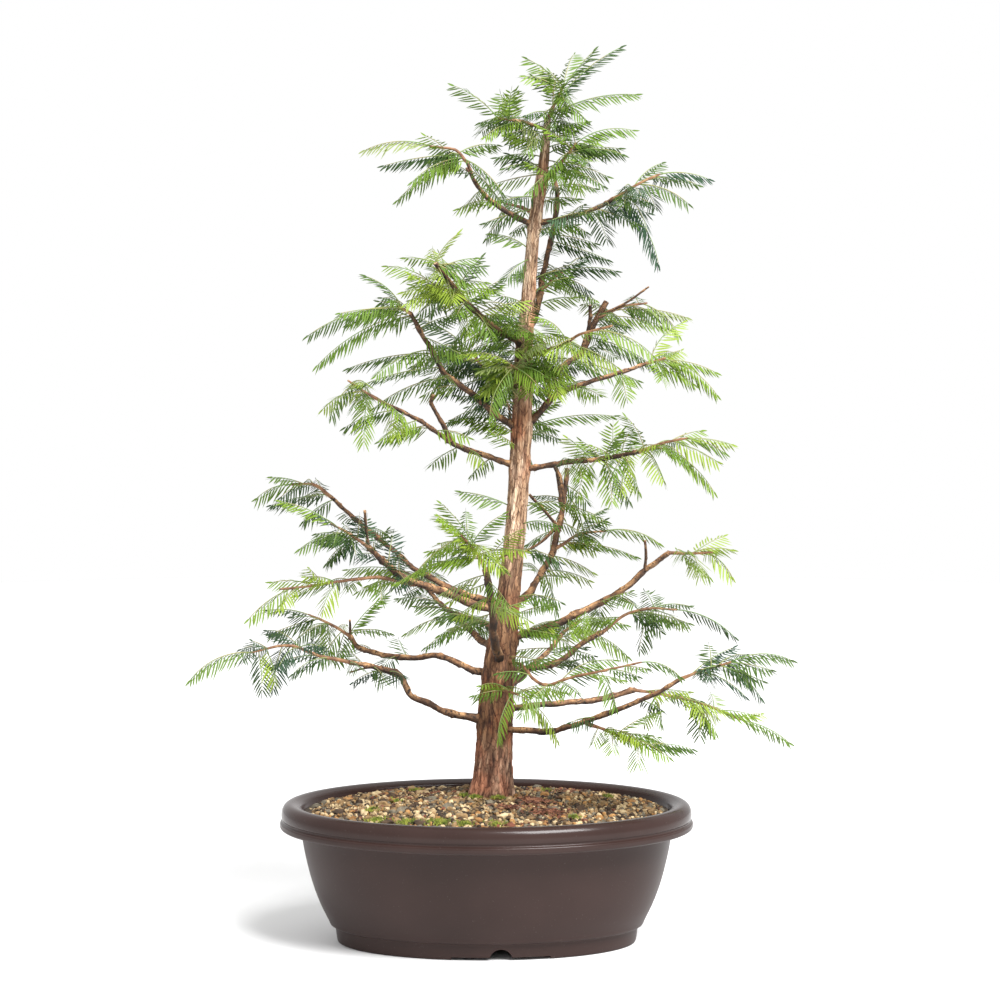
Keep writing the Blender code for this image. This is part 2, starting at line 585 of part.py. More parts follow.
def needle_length(share):
    """A needle's length at this share of the leafy stretch: longest before the middle."""
    if share < LONGEST_AT:
        swell = math.sin(math.pi / 2 * share / LONGEST_AT)
        return NEEDLE * (FOOT_NEEDLE + (1 - FOOT_NEEDLE) * swell)
    fade = math.cos(math.pi / 2 * (share - LONGEST_AT) / (1 - LONGEST_AT))
    return NEEDLE * (TIP_NEEDLE + (1 - TIP_NEEDLE) * fade)


def rib_frame(points, share, roll):
    """The rib's centre, direction, side and top at this share of its length."""
    centre, ahead = along_limb(points, share)
    level = UP.cross(ahead).normalized()
    above = ahead.cross(level)
    lean = math.radians(roll)
    side = level * math.cos(lean) + above * math.sin(lean)
    return centre, ahead, side, ahead.cross(side)


def spray_shape(points, length, roll, grown=0):
    """A toothed blade along the rib's points. `grown` thickens it, to test what it comes near."""
    teeth = max(FEWEST_TEETH, round(length / MM / TOOTH_PITCH))
    leafy = (1 - BARE_SHARE) * LEAFY_END
    shares = [0] + [BARE_SHARE + leafy * k / teeth for k in range(teeth + 1)]
    vertices = []
    frames = []
    for share in shares:
        centre, ahead, side, top = rib_frame(points, share, roll)
        frames.append((centre, ahead, side, top))
        size = (RIB_FOOT + (RIB_TIP - RIB_FOOT) * share) * MM / 2 + grown
        vertices += [centre + top * size, centre - (side + top) * size, centre + (side - top) * size]
    faces = [(2, 1, 0)]
    bridge(faces, 0, 3, 3)
    for k in range(teeth):
        first = 3 * (k + 1)
        centre = (frames[k + 1][0] + frames[k + 2][0]) / 2
        _, ahead, side, top = frames[k + 1]
        reach = needle_length((k + 0.5) / teeth) * MM + grown
        forward = ahead * math.cos(math.radians(NEEDLE_FORWARD))
        sag = top * math.sin(math.radians(NEEDLE_SAG))
        out = side * math.sin(math.radians(NEEDLE_FORWARD))
        faces.append((first + 1, first + 2, first + 5, first + 4))
        for flank, corners in ((-1, (0, 1, 4, 3)), (1, (2, 0, 3, 5))):
            apex = len(vertices)
            vertices.append(centre + (forward + out * flank - sag) * reach)
            ring = [first + corner for corner in corners]
            for a, b in zip(ring, ring[1:] + ring[:1]):
                faces.append((a, b, apex))
    last = 3 * (teeth + 1)
    tip = len(vertices)
    vertices.append(points[-1])
    for k in range(3):
        faces.append((last + k, last + (k + 1) % 3, tip))
    return vertices, faces


def tree_of(shape):
    """A search tree over the shape's faces, to test what touches it."""
    return BVHTree.FromPolygons(shape[0], shape[1])


def in_crown(points):
    """Whether a rib keeps to the crown, which narrows evenly from its foot to its top."""
    for point in points:
        share = (point.z / MM - CROWN_FOOT[0]) / (CROWN_TOP[0] - CROWN_FOOT[0])
        radius = CROWN_FOOT[1] + (CROWN_TOP[1] - CROWN_FOOT[1]) * share
        if abs(point.y / MM - TRUNK_Y) > radius or not 0 < share < 1:
            return False
    return True


def draw_sprays(stem, outline, count, side_length, rng):
    """The sprays that a mass should have, each (share of stem, azimuth, pitch, length)."""
    wanted = list(outline)
    for k in range(count):
        share = FIRST_SIDE_SHARE + (1 - FIRST_SIDE_SHARE) * (k + 0.4) / count
        _, along = along_limb(stem, share)
        azimuth = math.degrees(math.atan2(along.y, along.x))
        side = 1 if k % 2 else -1
        azimuth += side * rng.uniform(*SPREAD)
        pitch = rng.uniform(*LIFT)
        wanted.append((share, azimuth, pitch, side_length * rng.uniform(*LENGTH_SPREAD)))
    return wanted


def place_spray(stem, spray, obstacles, rng):
    """The spray's shape, redrawn a little until it clears its neighbours, or None."""
    share, azimuth, pitch, length = spray
    start, _ = along_limb(stem, share)
    for attempt in range(TRIES):
        loose = TURN_PER_TRY * attempt
        turned = azimuth + rng.uniform(-loose, loose)
        raised = pitch + rng.uniform(-loose, loose) / 2
        size = length * MM * (1 - SHRINK_PER_TRY * attempt)
        points = arch(start, turned, raised, size, rng.uniform(*DROOP), rng.uniform(*SWAY))
        roll = rng.uniform(*ROLL)
        tested = tree_of(spray_shape(points, size, roll, GAP))
        if in_crown(points) and not any(other.overlap(tested) for other in obstacles):
            return spray_shape(points, size, roll)
    return None


def keep_outer_skin(mesh):
    """Deletes all but the largest connected skin: loose scraps, and the walls of sealed hollows."""
    shell = bmesh.new()
    shell.from_mesh(mesh)
    left = set(shell.faces)
    skins = []
    while left:
        skin = []
        edge = [left.pop()]
        while edge:
            face = edge.pop()
            skin.append(face)
            for side in face.edges:
                for neighbour in side.link_faces:
                    if neighbour in left:
                        left.remove(neighbour)
                        edge.append(neighbour)
        skins.append(skin)
    skins.sort(key=len)
    doomed = [face for skin in skins[:-1] for face in skin]
    bmesh.ops.delete(shell, geom=doomed, context="FACES")
    shell.to_mesh(mesh)
    shell.free()


def fuse(name, shapes, colour):
    """One object from shapes that run into each other."""
    fused = add_object(name, shapes[0], colour)
    parts = bpy.data.collections.new(name + "_parts")
    bpy.context.scene.collection.children.link(parts)
    for shape in shapes[1:]:
        add_object(name + "_part", shape, colour, parts)
    union = fused.modifiers.new("union", "BOOLEAN")
    union.operation = "UNION"
    union.operand_type = "COLLECTION"
    union.collection = parts
    union.solver = "MANIFOLD"  # EXACT leaves inside-out scraps where blades graze each other
    graph = bpy.context.evaluated_depsgraph_get()
    mesh = bpy.data.meshes.new_from_object(fused.evaluated_get(graph))
    fused.modifiers.clear()
    keep_outer_skin(mesh)
    fused.data = mesh
    for part in list(parts.objects):
        bpy.data.objects.remove(part)
    bpy.data.collections.remove(parts)
    return fused


def grow_foliage(limbs, solids):
    """Makes each mass. Every stem is laid out first, so that no spray crosses a stem."""
    stems = {}
    for name, parent, place, legs, *_ in MASSES:
        radius = min(STEM_RADIUS * MM, limbs[parent][1][-1] if parent in limbs else 1)
        points, facing = limb_route(limbs, parent, place, legs, radius)
        radii = taper(points, radius, STEM_TIP_RADIUS * MM)
        shape = limb_shape(points, facing, radii, STEM_SIDES)
        stems[name] = (points, shape)
    trees = [tree_of(shape) for shape in solids]
    stem_trees = {name: tree_of(shape) for name, (_, shape) in stems.items()}
    for number, mass in enumerate(MASSES):
        name, _, _, _, colour, count, side_length, outline = mass
        rng = random.Random(FOLIAGE_SEED + number)
        stem, stem_shape = stems[name]
        others = trees + [tree for other, tree in stem_trees.items() if other != name]
        shapes = [stem_shape]
        for spray in draw_sprays(stem, outline, count, side_length, rng):
            shape = place_spray(stem, spray, others, rng)
            if shape:
                shapes.append(shape)
        fuse(name, shapes, "needles_" + colour)
        trees += [tree_of(shape) for shape in shapes[1:]]


def shape_of(made):
    """An object's (vertices, faces)."""
    vertices = [vertex.co.copy() for vertex in made.data.vertices]
    faces = [tuple(face.vertices) for face in made.data.polygons]
    return vertices, faces


def main():
    for old in list(bpy.data.objects):
        bpy.data.objects.remove(old)
    pot = make_pot()
    grit = make_grit()
    trunk = make_trunk()
    limbs, bough_shapes = grow_boughs()
    solids = [shape_of(made) for made in (pot, grit, trunk)]
    grow_foliage(limbs, solids + bough_shapes)
    for made in bpy.context.scene.objects:
        if made.name in ("pot", "trunk") or made.name in limbs:
            made.data.shade_smooth()
            made.data.set_sharp_from_angle(angle=math.radians(SMOOTH_ANGLE))


main()
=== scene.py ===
"""The looks of a dawn redwood bonsai in an oval pot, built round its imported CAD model.

The axes and the tables of limbs and foliage masses are those of the part's source: +X is the
tree's right, +Y its back and +Z up, from the middle of the pot's underside. Sizes in the tables
are millimetres and angles are degrees, and MM turns a size into metres.
"""

import itertools
import math
import random

import bmesh
import bpy
from mathutils import Euler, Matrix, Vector, noise
from mathutils.bvhtree import BVHTree


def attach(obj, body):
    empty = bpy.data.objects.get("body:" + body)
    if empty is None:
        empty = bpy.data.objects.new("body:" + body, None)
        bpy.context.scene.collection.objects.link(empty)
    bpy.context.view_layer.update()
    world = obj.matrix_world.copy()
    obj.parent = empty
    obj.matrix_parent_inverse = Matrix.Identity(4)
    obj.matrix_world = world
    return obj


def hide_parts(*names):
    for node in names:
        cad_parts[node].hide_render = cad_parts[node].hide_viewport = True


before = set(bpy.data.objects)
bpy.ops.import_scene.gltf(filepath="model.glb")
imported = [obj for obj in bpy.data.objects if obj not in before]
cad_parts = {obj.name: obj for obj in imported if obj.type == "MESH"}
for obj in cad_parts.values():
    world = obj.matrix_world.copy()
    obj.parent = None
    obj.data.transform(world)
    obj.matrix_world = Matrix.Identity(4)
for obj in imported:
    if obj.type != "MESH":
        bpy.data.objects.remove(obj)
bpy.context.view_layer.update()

MM = 0.001
UP = Vector((0, 0, 1))
BODY = "root"
GAP = 0.3 * MM

# Pot: oval rings, each (half length, height). Every ring is OVAL shorter across than along.
OVAL = 55
POT_FOOT = ((136, 11), (137, 0.4), (138, 0), (144, 0), (145.5, 1.5), (147, 14.5), (148, 16.4))
POT_WALL = (
    (151.4, 17), (152.6, 18.6), (153.8, 22), (161.5, 37), (170, 60), (176.5, 87), (179.6, 106),
    (181, 109), (184, 110), (192, 110.4), (197.4, 110.8), (199.4, 111.8), (200.4, 113.4),
    (200.4, 116.6), (199.8, 117.8), (198.2, 118.6), (197.7, 119.4), (197.9, 120.4), (198.8, 122),
    (199, 126), (198.2, 130.4), (195.8, 134), (192, 136), (187.6, 136), (183.6, 134.6),
    (180.8, 133.4), (179.2, 131.8), (178.4, 129.4), (177, 127),
)
POT_BOWL = ((174, 100), (166, 60), (157, 37), (142, 15.5))
POT_OPENING = 177  # half the length of the opening at the grit
POT_RING_SIDES = 176
ROUNDING_PASSES = 2
SHARP_POT_EDGE = 38  # degrees
HOLLOW_HALF_LENGTH = 135  # the hollow inside the foot ring
PAD_HALF_LENGTH = 75  # the pad in the middle of the hollow
PAD_TOP = 12
NOTCH_X = 14  # the drain notches sit a little to the right of the middle, front and back
NOTCH_RADIUS = 11
NOTCH_Y = 88
NOTCH_DEPTH = 14  # the cutters reach this far either way through the foot ring
RECESS_HALF_LENGTH = 47
RECESS_HEIGHT = 3
DRAIN_RADIUS = 8
ROD_SIDES = 40
DRAINS = ((92, 22), (92, -22), (-92, 22), (-92, -22))

# Grit: the places of its larger stones come from the source's rule.
FILL_HEIGHT = 130
GRIT_CLEAR = 0.5  # between the grit and the pot
STONES = 48  # the larger stones that stand out of the grit
STONE_SEED = 4
STONE_RADIUS = (4.8, 7.2)
STONE_RISE = (1.2, 2.2)
STONE_APART = 23
STONE_TO_TRUNK = 40  # between a stone's middle and the trunk's
STONE_REACH = 0.93  # the share of the pot's opening that holds stones

# Trunk: (height above the grit, x, radius).
TRUNK_FOOT = 138.5
TRUNK_Y = 35
TRUNK = (
    (0, 3.2, 21.7), (17, 6, 18.7), (52, 7.6, 17), (92, 9.1, 16.4), (141, 14, 14.5),
    (190, 20.8, 11.1), (213, 23.2, 10.4), (259, 28.1, 9.8), (308, 31.5, 9.7), (353, 33.9, 9.7),
    (405, 35.3, 9.2), (425, 35.8, 8.5), (454, 37.7, 7.7), (483, 40.6, 6.8), (512, 42.5, 6.3),
    (541, 44.9, 5.9), (570, 48.4, 6.1), (589, 51.6, 6.0), (618, 55.5, 4.7), (639, 57.9, 3.7),
    (657, 58.8, 2.9),
)
ROOT_LOBES = 5
ROOT_LOBE_SIZE = 0.1
ROOT_LOBE_FADE = 26
ROOT_LOBE_TURN = 40
WALL_STEP = 5  # the height over which the trunk's slope is taken

# Boughs: (name, parent, place, foot radius, tip radius, legs). A place on the trunk is a height
# above the grit, and a place on a bough is a share of its length. A leg is (length, azimuth, pitch).
BOUGH_SIDES = 6
COLLAR = 1.35  # a limb swells by this much where it leaves the trunk
COLLAR_LENGTH = 1.6  # in radii of the limb
SEAT = 0.5  # the facets of the trunk stand this much off its true wall, gap included
BOUGHS = (
    ("left_low", "trunk", 70, 3.9, 2.4,
     ((45, 191, 13), (31, 196, 25), (16, 197, 28), (21, 192, 63), (25, 195, 20), (27, 198, 13))),
    ("left_low_back", "trunk", 116, 3.3, 2.6,
     ((33, 158, 10), (30, 155, 20), (25, 161, -5), (29, 164, 0), (31, 169, 13), (16, 169, 49))),
    ("left_mid_low", "trunk", 176, 4.2, 2.8,
     ((47, 196, 20), (25, 201, 23), (37, 197, 20), (26, 203, 38), (23, 200, 43))),
    ("left_mid_low_upper", "trunk", 184, 3.6, 1.9,
     ((50, 156, 13), (51, 158, 23), (30, 161, 37), (32, 166, 37), (28, 164, 38), (25, 167, 42))),
    ("front_low", "trunk", 124, 4.4, 3.2, ((52, 263, 39), (52, 265, 54), (38, 256, 54))),
    ("left_mid", "trunk", 356, 3.4, 2.0,
     ((22, 198, 30), (44, 204, 38), (31, 204, 35), (25, 206, 57), (25, 206, 57), (19, 205, 60))),
    ("left_hanging", "trunk", 320, 3.0, 1.6,
     ((41, 195, 20), (29, 202, 19), (19, 209, 32), (28, 206, 33), (40, 199, 26))),
    ("left_pruned", "trunk", 438, 3.2, 2.2,
     ((41, 232, 22), (37, 220, 32), (32, 220, 41), (35, 221, 45))),
    ("left_high", "trunk", 554, 2.9, 1.7,
     ((24, 196, 24), (26, 196, 33), (14, 192, 44), (15, 195, 57), (15, 203, 70))),
    ("right_low", "trunk", 64, 3.3, 2.0,
     ((44, 333, 1), (21, 325, 5), (53, 336, 19), (60, 339, 24), (29, 341, 32))),
    ("right_low_cut", "trunk", 82, 3.0, 2.8,
     ((43, 11, 5), (40, 17, 2), (26, 23, 3), (35, 14, 13))),
    ("right_low_back", "trunk", 120, 3.4, 2.4,
     ((51, 26, 3), (21, 35, 14), (30, 32, 30), (23, 29, 23))),
    ("right_mid_low", "trunk", 151, 4.4, 2.6,
     ((39, 12, 13), (27, 9, 23), (56, 9, 25), (43, 7, 39), (22, 0, 36))),
    ("right_rising", "trunk", 182, 3.9, 2.4,
     ((36, 50, 19), (17, 55, 44), (28, 45, 46), (30, 56, 62), (31, 59, 68), (34, 66, 74))),
    ("right_mid", "trunk", 318, 3.0, 1.9,
     ((36, 344, 9), (15, 345, 12), (36, 340, 6), (36, 340, 12))),
    ("right_mid_high", "trunk", 358, 3.5, 1.7,
     ((25, 18, 38), (19, 19, 49), (19, 7, 27), (19, 6, 18), (43, 8, 17), (17, 14, 19))),
    ("right_pruned", "trunk", 400, 3.2, 2.8,
     ((38, 37, 16), (21, 39, 26), (21, 34, 32), (18, 41, 59), (21, 27, 64), (18, 24, 56))),
    ("right_high", "trunk", 557, 2.8, 1.9,
     ((21, 349, 8), (11, 339, 10), (31, 344, 18), (23, 343, 27))),
    ("back_leader", "trunk", 446, 3.2, 2.4,
     ((39, 65, 43), (36, 59, 71), (33, 41, 74), (29, 34, 76), (24, 64, 85))),
    ("back_left_low", "trunk", 138, 3.6, 2.2,
     ((50, 118, 12), (45, 122, 22), (40, 116, 14), (35, 120, 26))),
    ("back_right_low", "trunk", 98, 3.6, 2.2,
     ((50, 66, 8), (45, 62, 18), (40, 70, 10), (35, 64, 24))),
)

# Foliage: each mass has one stem, which carries on from its parent in legs like a bough's. Sprays
# that set the crown's outline stand at chosen places on it, each (share of the stem, azimuth,
# pitch, length), and the growing rule adds side sprays.
# (name, parent, place, legs, colour, side sprays, their length, outline sprays)
MASSES = (
    ("left_low_foliage", "left_low", 1, ((32, 195, 14), (31, 196, 20), (37, 193, -9)),
     "dark", 3, 62, ((1, 192, 6, 72), (0.85, 300, -31, 42), (0.5, 141, 45, 56), (0.2, 221, 10, 48))),
    ("left_low_back_foliage", "left_low_back", 1, ((24, 161, 28), (25, 163, 21)),
     "green", 1, 55, ((0.07, 339, 23, 60), (0.03, 36, 56, 64), (0.93, 157, 18, 56), (0.5, 218, 3, 54))),
    ("left_mid_low_foliage", "left_mid_low", 1, ((23, 205, 35), (23, 203, 29)),
     "dark", 2, 55, ((0.9, 190, 40, 60), (0.5, 205, 12, 58), (0.3, 160, -12, 44), (0.03, 330, 16, 50))),
    ("left_trailing_foliage", "left_mid_low", 0.62,
     ((30, 192, 7), (30, 196, -2), (44, 196, -7), (26, 193, -4)),
     "bright", 1, 42, ((0.9, 196, -18, 56), (0.55, 230, -26, 38), (0.25, 285, -25, 34))),
    ("left_mid_low_upper_foliage", "left_mid_low_upper", 1, ((21, 173, 35), (24, 175, 0)),
     "green", 1, 45, ((0.9, 175, 5, 44), (0.17, 120, 5, 50), (0.5, 230, 10, 50))),
    ("left_inner_low_foliage", "trunk", 159, ((59, 122, 7), (44, 114, 3)),
     "green", 2, 62, ((1, 158, 7, 62), (0.33, 191, -16, 66), (0.55, 95, 5, 60))),
    ("front_low_foliage", "front_low", 1, ((20, 241, 47), (31, 224, 43)),
     "bright", 1, 62, ((0.4, 207, 66, 70), (0.3, 187, 4, 88), (0.05, 310, 55, 70), (0.4, 320, 22, 66),
                       (1, 228, 45, 42))),
    ("left_mid_foliage", "left_mid", 1, ((16, 206, 30),),
     "green", 1, 58, ((0.9, 191, 1, 99), (0.1, 195, -6, 122), (0.6, 200, 64, 52), (0.1, 95, 30, 62))),
    ("left_inner_mid_foliage", "trunk", 392, ((43, 149, 26), (42, 123, 32)),
     "dark", 2, 62, ((1, 160, 45, 78), (0.55, 215, 12, 56), (0.8, 60, 40, 62), (0.9, 185, 15, 66))),
    ("left_hanging_foliage", "left_hanging", 1, ((22, 199, 30), (18, 199, 34)),
     "bright", 1, 55, ((0.8, 214, -20, 44), (0.4, 258, -46, 56), (0.17, 322, -12, 56),
                       (0.02, 262, -40, 72))),
    ("left_pruned_foliage", "left_pruned", 0.5, ((26, 186, 40), (22, 176, 24)),
     "bright", 2, 60, ((1, 160, 40, 56), (0.45, 183, 19, 66), (0.12, 337, 30, 58), (0.2, 279, -30, 44))),
    ("left_high_foliage", "left_high", 1, ((18, 198, 43), (25, 194, 8)),
     "green", 1, 54, ((0.95, 187, 20, 70), (0.02, 187, 9, 86), (0.05, 206, 0, 50),
                      (0.12, 319, -16, 60), (0.3, 28, 31, 48))),
    ("left_top_foliage", "trunk", 566, ((18, 160, 22), (16, 172, 12)),
     "bright", 1, 50, ((0.9, 205, 20, 54), (0.3, 215, -12, 66), (0.5, 110, 35, 50))),
    ("top_left_foliage", "trunk", 647, ((27, 197, 16), (24, 199, 6)),
     "green", 1, 46, ((1, 192, 52, 58), (0.4, 220, 5, 54), (0.95, 70, 62, 46), (0.6, 130, 25, 46))),
    ("top_foliage", "trunk_tip", 1, ((18, 0, 64), (18, 27, 61)),
     "green", 1, 44, ((0.3, 356, 58, 96), (1, 60, 76, 46), (0.75, 200, 53, 42), (0.05, 350, 32, 96),
                      (0.15, 235, 15, 50))),
    ("top_right_foliage", "trunk", 594, ((19, 319, 34), (17, 328, 48), (20, 335, 50)),
     "green", 1, 50, ((1, 351, 40, 62), (0.75, 345, 20, 58), (0.85, 28, 17, 48), (0.55, 303, -17, 46))),
    ("right_high_foliage", "right_high", 1, ((25, 344, 30), (22, 350, 24)),
     "dark", 2, 56, ((1, 356, 12, 50), (0.5, 338, 1, 60), (0.15, 312, -26, 54), (0.03, 0, -38, 86),
                     (0.4, 40, 52, 48))),
    ("back_leader_foliage", "back_leader", 1, ((15, 116, 70), (16, 45, 60)),
     "green", 1, 46, ((0.1, 329, 12, 46), (0.9, 13, 30, 50), (0.5, 141, 30, 48))),
    ("back_leader_low_foliage", "back_leader", 0.35, ((20, 30, 30), (16, 40, 20)),
     "dark", 1, 50, ((0.8, 350, 20, 56), (0.9, 60, 40, 50), (0.5, 151, 16, 50))),
    ("right_mid_high_foliage", "right_mid_high", 1, ((20, 352, 16),),
     "bright", 1, 50, ((0.9, 346, -11, 70), (0.2, 31, 76, 58), (0.1, 60, 30, 56))),
    ("right_upright_foliage", "right_mid_high", 0.22,
     ((27, 264, 45), (21, 231, 68), (18, 283, 77)),
     "bright", 0, 52, ((0.57, 285, -6, 50), (0.97, 334, 16, 56), (1, 205, 37, 54))),
    ("right_pruned_foliage", "right_pruned", 0.88, ((26, 4, 18), (24, 10, 8)),
     "green", 1, 56, ((0.9, 350, -16, 54), (0.3, 352, 2, 96), (0.2, 149, 40, 62), (0.5, 60, 10, 54))),
    ("right_crossing_foliage", "trunk", 426, ((51, 324, 18), (21, 321, 25), (36, 328, 14)),
     "bright", 1, 54, ((0.78, 345, 4, 70), (0.42, 351, -8, 60), (0.45, 234, 55, 50))),
    ("right_mid_foliage", "right_mid", 1, ((27, 341, 20), (22, 349, 12)),
     "bright", 1, 60, ((1, 350, -6, 40), (0.42, 345, -20, 76), (0.15, 285, -13, 62), (0.05, 160, 40, 52),
                       (0.1, 240, 62, 50), (0.3, 60, 20, 60))),
    ("right_rising_foliage", "right_rising", 0.5, ((30, 8, 24), (26, 8, 6)),
     "bright", 1, 58, ((0.95, 5, 14, 62), (0.15, 350, 5, 78), (0.35, 50, 50, 54))),
    ("right_mid_low_foliage", "right_mid_low", 1, ((25, 355, 0), (19, 354, 4)),
     "bright", 1, 42, ((0.9, 343, -25, 36), (0.25, 26, -20, 46), (0.5, 346, 25, 44))),
    ("right_low_back_foliage", "right_low_back", 1, ((30, 16, 34), (26, 13, 12), (27, 13, -4)),
     "green", 1, 56, ((1, 5, -4, 70), (0.72, 220, -40, 50), (0.3, 180, 5, 56), (0.55, 40, 5, 64))),
    ("right_low_front_foliage", "trunk", 134,
     ((40, 305, -7), (23, 295, -22), (20, 313, -14), (26, 340, 20), (39, 341, 14), (32, 345, 14)),
     "green", 1, 44, ((1, 345, 10, 44), (0.75, 311, -40, 42), (0.42, 215, -20, 46), (0.5, 10, 50, 60))),
    ("right_low_cut_foliage", "right_low_cut", 1, ((29, 8, -10), (42, 9, -14), (42, 10, -24)),
     "bright", 1, 40, ((1, 3, -9, 60), (0.5, 345, -25, 46), (0.23, 131, -30, 42))),
    ("right_low_foliage", "right_low", 1, ((27, 346, 22), (25, 350, 18)),
     "dark", 2, 56, ((1, 352, 30, 64), (0.8, 336, -14, 54), (0.42, 333, -7, 56), (0.2, 25, 40, 60))),
    ("right_low_side_foliage", "right_low", 0.45, ((30, 316, -15), (35, 327, -18)),
     "bright", 1, 46, ((1, 345, 14, 56), (0.9, 320, -44, 42), (0.6, 80, 10, 42), (0.57, 15, 40, 50))),
    ("front_mid_foliage", "trunk", 410, ((30, 261, 12), (22, 250, 14)),
     "bright", 1, 60, ((0.9, 205, 40, 58), (0.72, 330, -8, 54), (0.82, 210, -36, 60), (0.7, 315, 55, 54))),
    ("front_low_right_foliage", "trunk", 104, ((30, 288, 2), (24, 297, -2)),
     "bright", 0, 50, ((1, 340, -20, 64), (0.7, 235, -36, 54), (0.93, 334, 31, 50), (0.55, 226, 40, 48))),
    ("back_left_low_foliage", "back_left_low", 1, ((26, 126, 18), (22, 112, 4)),
     "green", 5, 66, ((1, 118, 12, 62),)),
    ("back_right_low_foliage", "back_right_low", 1, ((26, 58, 16), (22, 72, 4)),
     "green", 5, 66, ((1, 64, 12, 62),)),
    ("back_mid_foliage", "trunk", 338, ((44, 102, 24), (36, 96, 34), (30, 100, 16)),
     "green", 5, 66, ((1, 98, 18, 62),)),
)

# Growing rule for the side sprays.
STEM_SIDES = 3
STEM_RADIUS = 1.9
STEM_TIP_RADIUS = 0.9
SPREAD = (38, 72)  # how far a side spray turns from its stem
LIFT = (-6, 24)  # the pitch that it starts at
DROOP = (30, 62)  # how far it bends down towards its tip
SWAY = (-18, 18)  # how far it bends sideways
ROLL = (-28, 28)  # how far its blade leans
LENGTH_SPREAD = (0.8, 1.15)
FIRST_SIDE_SHARE = 0.12  # the share of the stem where side sprays begin
FOLIAGE_SEED = 100
TRIES = 12  # a spray that would touch a neighbour is drawn again this many times, then skipped
TURN_PER_TRY = 5  # degrees more freedom at each new try
SHRINK_PER_TRY = 0.03
CROWN_FOOT = (175, 300)  # (height, radius) of the space that the foliage keeps to
CROWN_TOP = (880, 110)

# One spray: a three-sided rib whose flanks stand out in teeth, each a bunch of needles.
TOOTH_PITCH = 19
FEWEST_TEETH = 3
BARE_SHARE = 0.14  # the share of a spray's length that is bare twig
RIB_FOOT = 2.6
RIB_TIP = 1.2
NEEDLE = 23
NEEDLE_FORWARD = 56  # between the rib and a needle
NEEDLE_SAG = 26  # how far the rows of needles hang below the blade's plane
FOOT_NEEDLE = 0.8  # the first and last needles' lengths, as shares of the longest
TIP_NEEDLE = 0.5
LONGEST_AT = 0.4  # where the longest needles are, as a share of the leafy stretch
LEAFY_END = 0.96  # the last tooth stops short of the rib's tip
ARCH_STEPS = 12

# Looks of the grit.
GRAIN_SHAPES = 10
GRAIN_LAYERS = (  # (pitch, radius, top above the grit's surface, roundness), all but the last in ranges
    (4.5, (1.2, 2.5), (-1.9, -0.2), 1),
    (6.3, (2.1, 4.2), (-0.9, 1.3), 2),
)
STONE_ROUNDNESS = 3
GRAIN_SEED = 7
GRAIN_LENGTH = (0.85, 1.25)  # a grain's half sizes, in radii
GRAIN_WIDTH = (0.75, 1.05)
GRAIN_FLATNESS = (0.55, 0.95)
GRAIN_CUTS = 7  # broken faces
GRAIN_CUT_DEPTH = (0.6, 0.85)  # how far from the middle they lie, in radii
GRAIN_ROUGHNESS = 0.34
GRAIN_ROW = 0.9  # rows lie closer than the grains in a row, by this share
STONE_LOOK_TOP = 0.4  # the looks of a stone stand this much above its solid
SOIL_DEPTH = 2.6  # the soil between the grains lies this far below the grit's surface
SOIL_SIDES = 96
SOIL_RINGS = 20
SOIL_CLOD = (0.9, 6)  # height and width
GRIT_REACH = 0.98  # the share of the pot's opening that grains fill
MOSS = (  # (x, y, radius, tufts) of each patch
    (-11, 13, 6, 210), (11, 10, 6, 180), (-22, 24, 6, 40), (-110, -38, 9, 60), (-104, -78, 12, 110),
    (-76, -88, 12, 110), (-44, -92, 16, 170), (-20, -100, 9, 70), (10, -98, 12, 60),
    (84, -72, 8, 60), (-88, 4, 7, 40), (60, 62, 8, 50), (-70, 70, 10, 60), (120, 40, 8, 40),
)
MOSS_SEED = 21
TUFT_BLADES = 4
TUFT_HEIGHT = (1.4, 4.2)
TUFT_HALF_WIDTH = (0.35, 0.6)
TUFT_FACES = ((0, 2, 1), (0, 1, 3), (1, 2, 3), (2, 0, 3))
LITTER_SEED = 33
LITTER_SPOTS = (  # (x, y, reach, flakes)
    (46, -6, 24, 190), (60, -52, 30, 150), (22, -34, 18, 70), (-60, 30, 60, 50), (70, 60, 60, 50),
)
LITTER_LENGTH = (2.5, 8)
LITTER_HALF_WIDTH = (0.4, 1.1)
LITTER_HALF_DEPTH = 0.25
LITTER_OUTLINE = ((-1, 0.4), (0, 1), (1, 0.5))  # (share of half the length, share of half the width)
DROPPED_NEEDLES = 70
DROPPED_REACH = 150
DROPPED_LENGTH = (7, 14)
GRAIN_TONES = {  # (share of the grains, dark colour, light colour)
    "tan": (0.31, (0.12, 0.068, 0.027), (0.32, 0.20, 0.088)),
    "cream": (0.22, (0.32, 0.22, 0.11), (0.64, 0.49, 0.28)),
    "grey": (0.15, (0.06, 0.050, 0.033), (0.19, 0.158, 0.108)),
    "umber": (0.23, (0.022, 0.012, 0.006), (0.075, 0.042, 0.020)),
    "ochre": (0.06, (0.21, 0.095, 0.025), (0.42, 0.22, 0.075)),
    "rust": (0.03, (0.085, 0.024, 0.011), (0.19, 0.058, 0.028)),
}
SHARP_GRAIN_EDGE = 35  # degrees

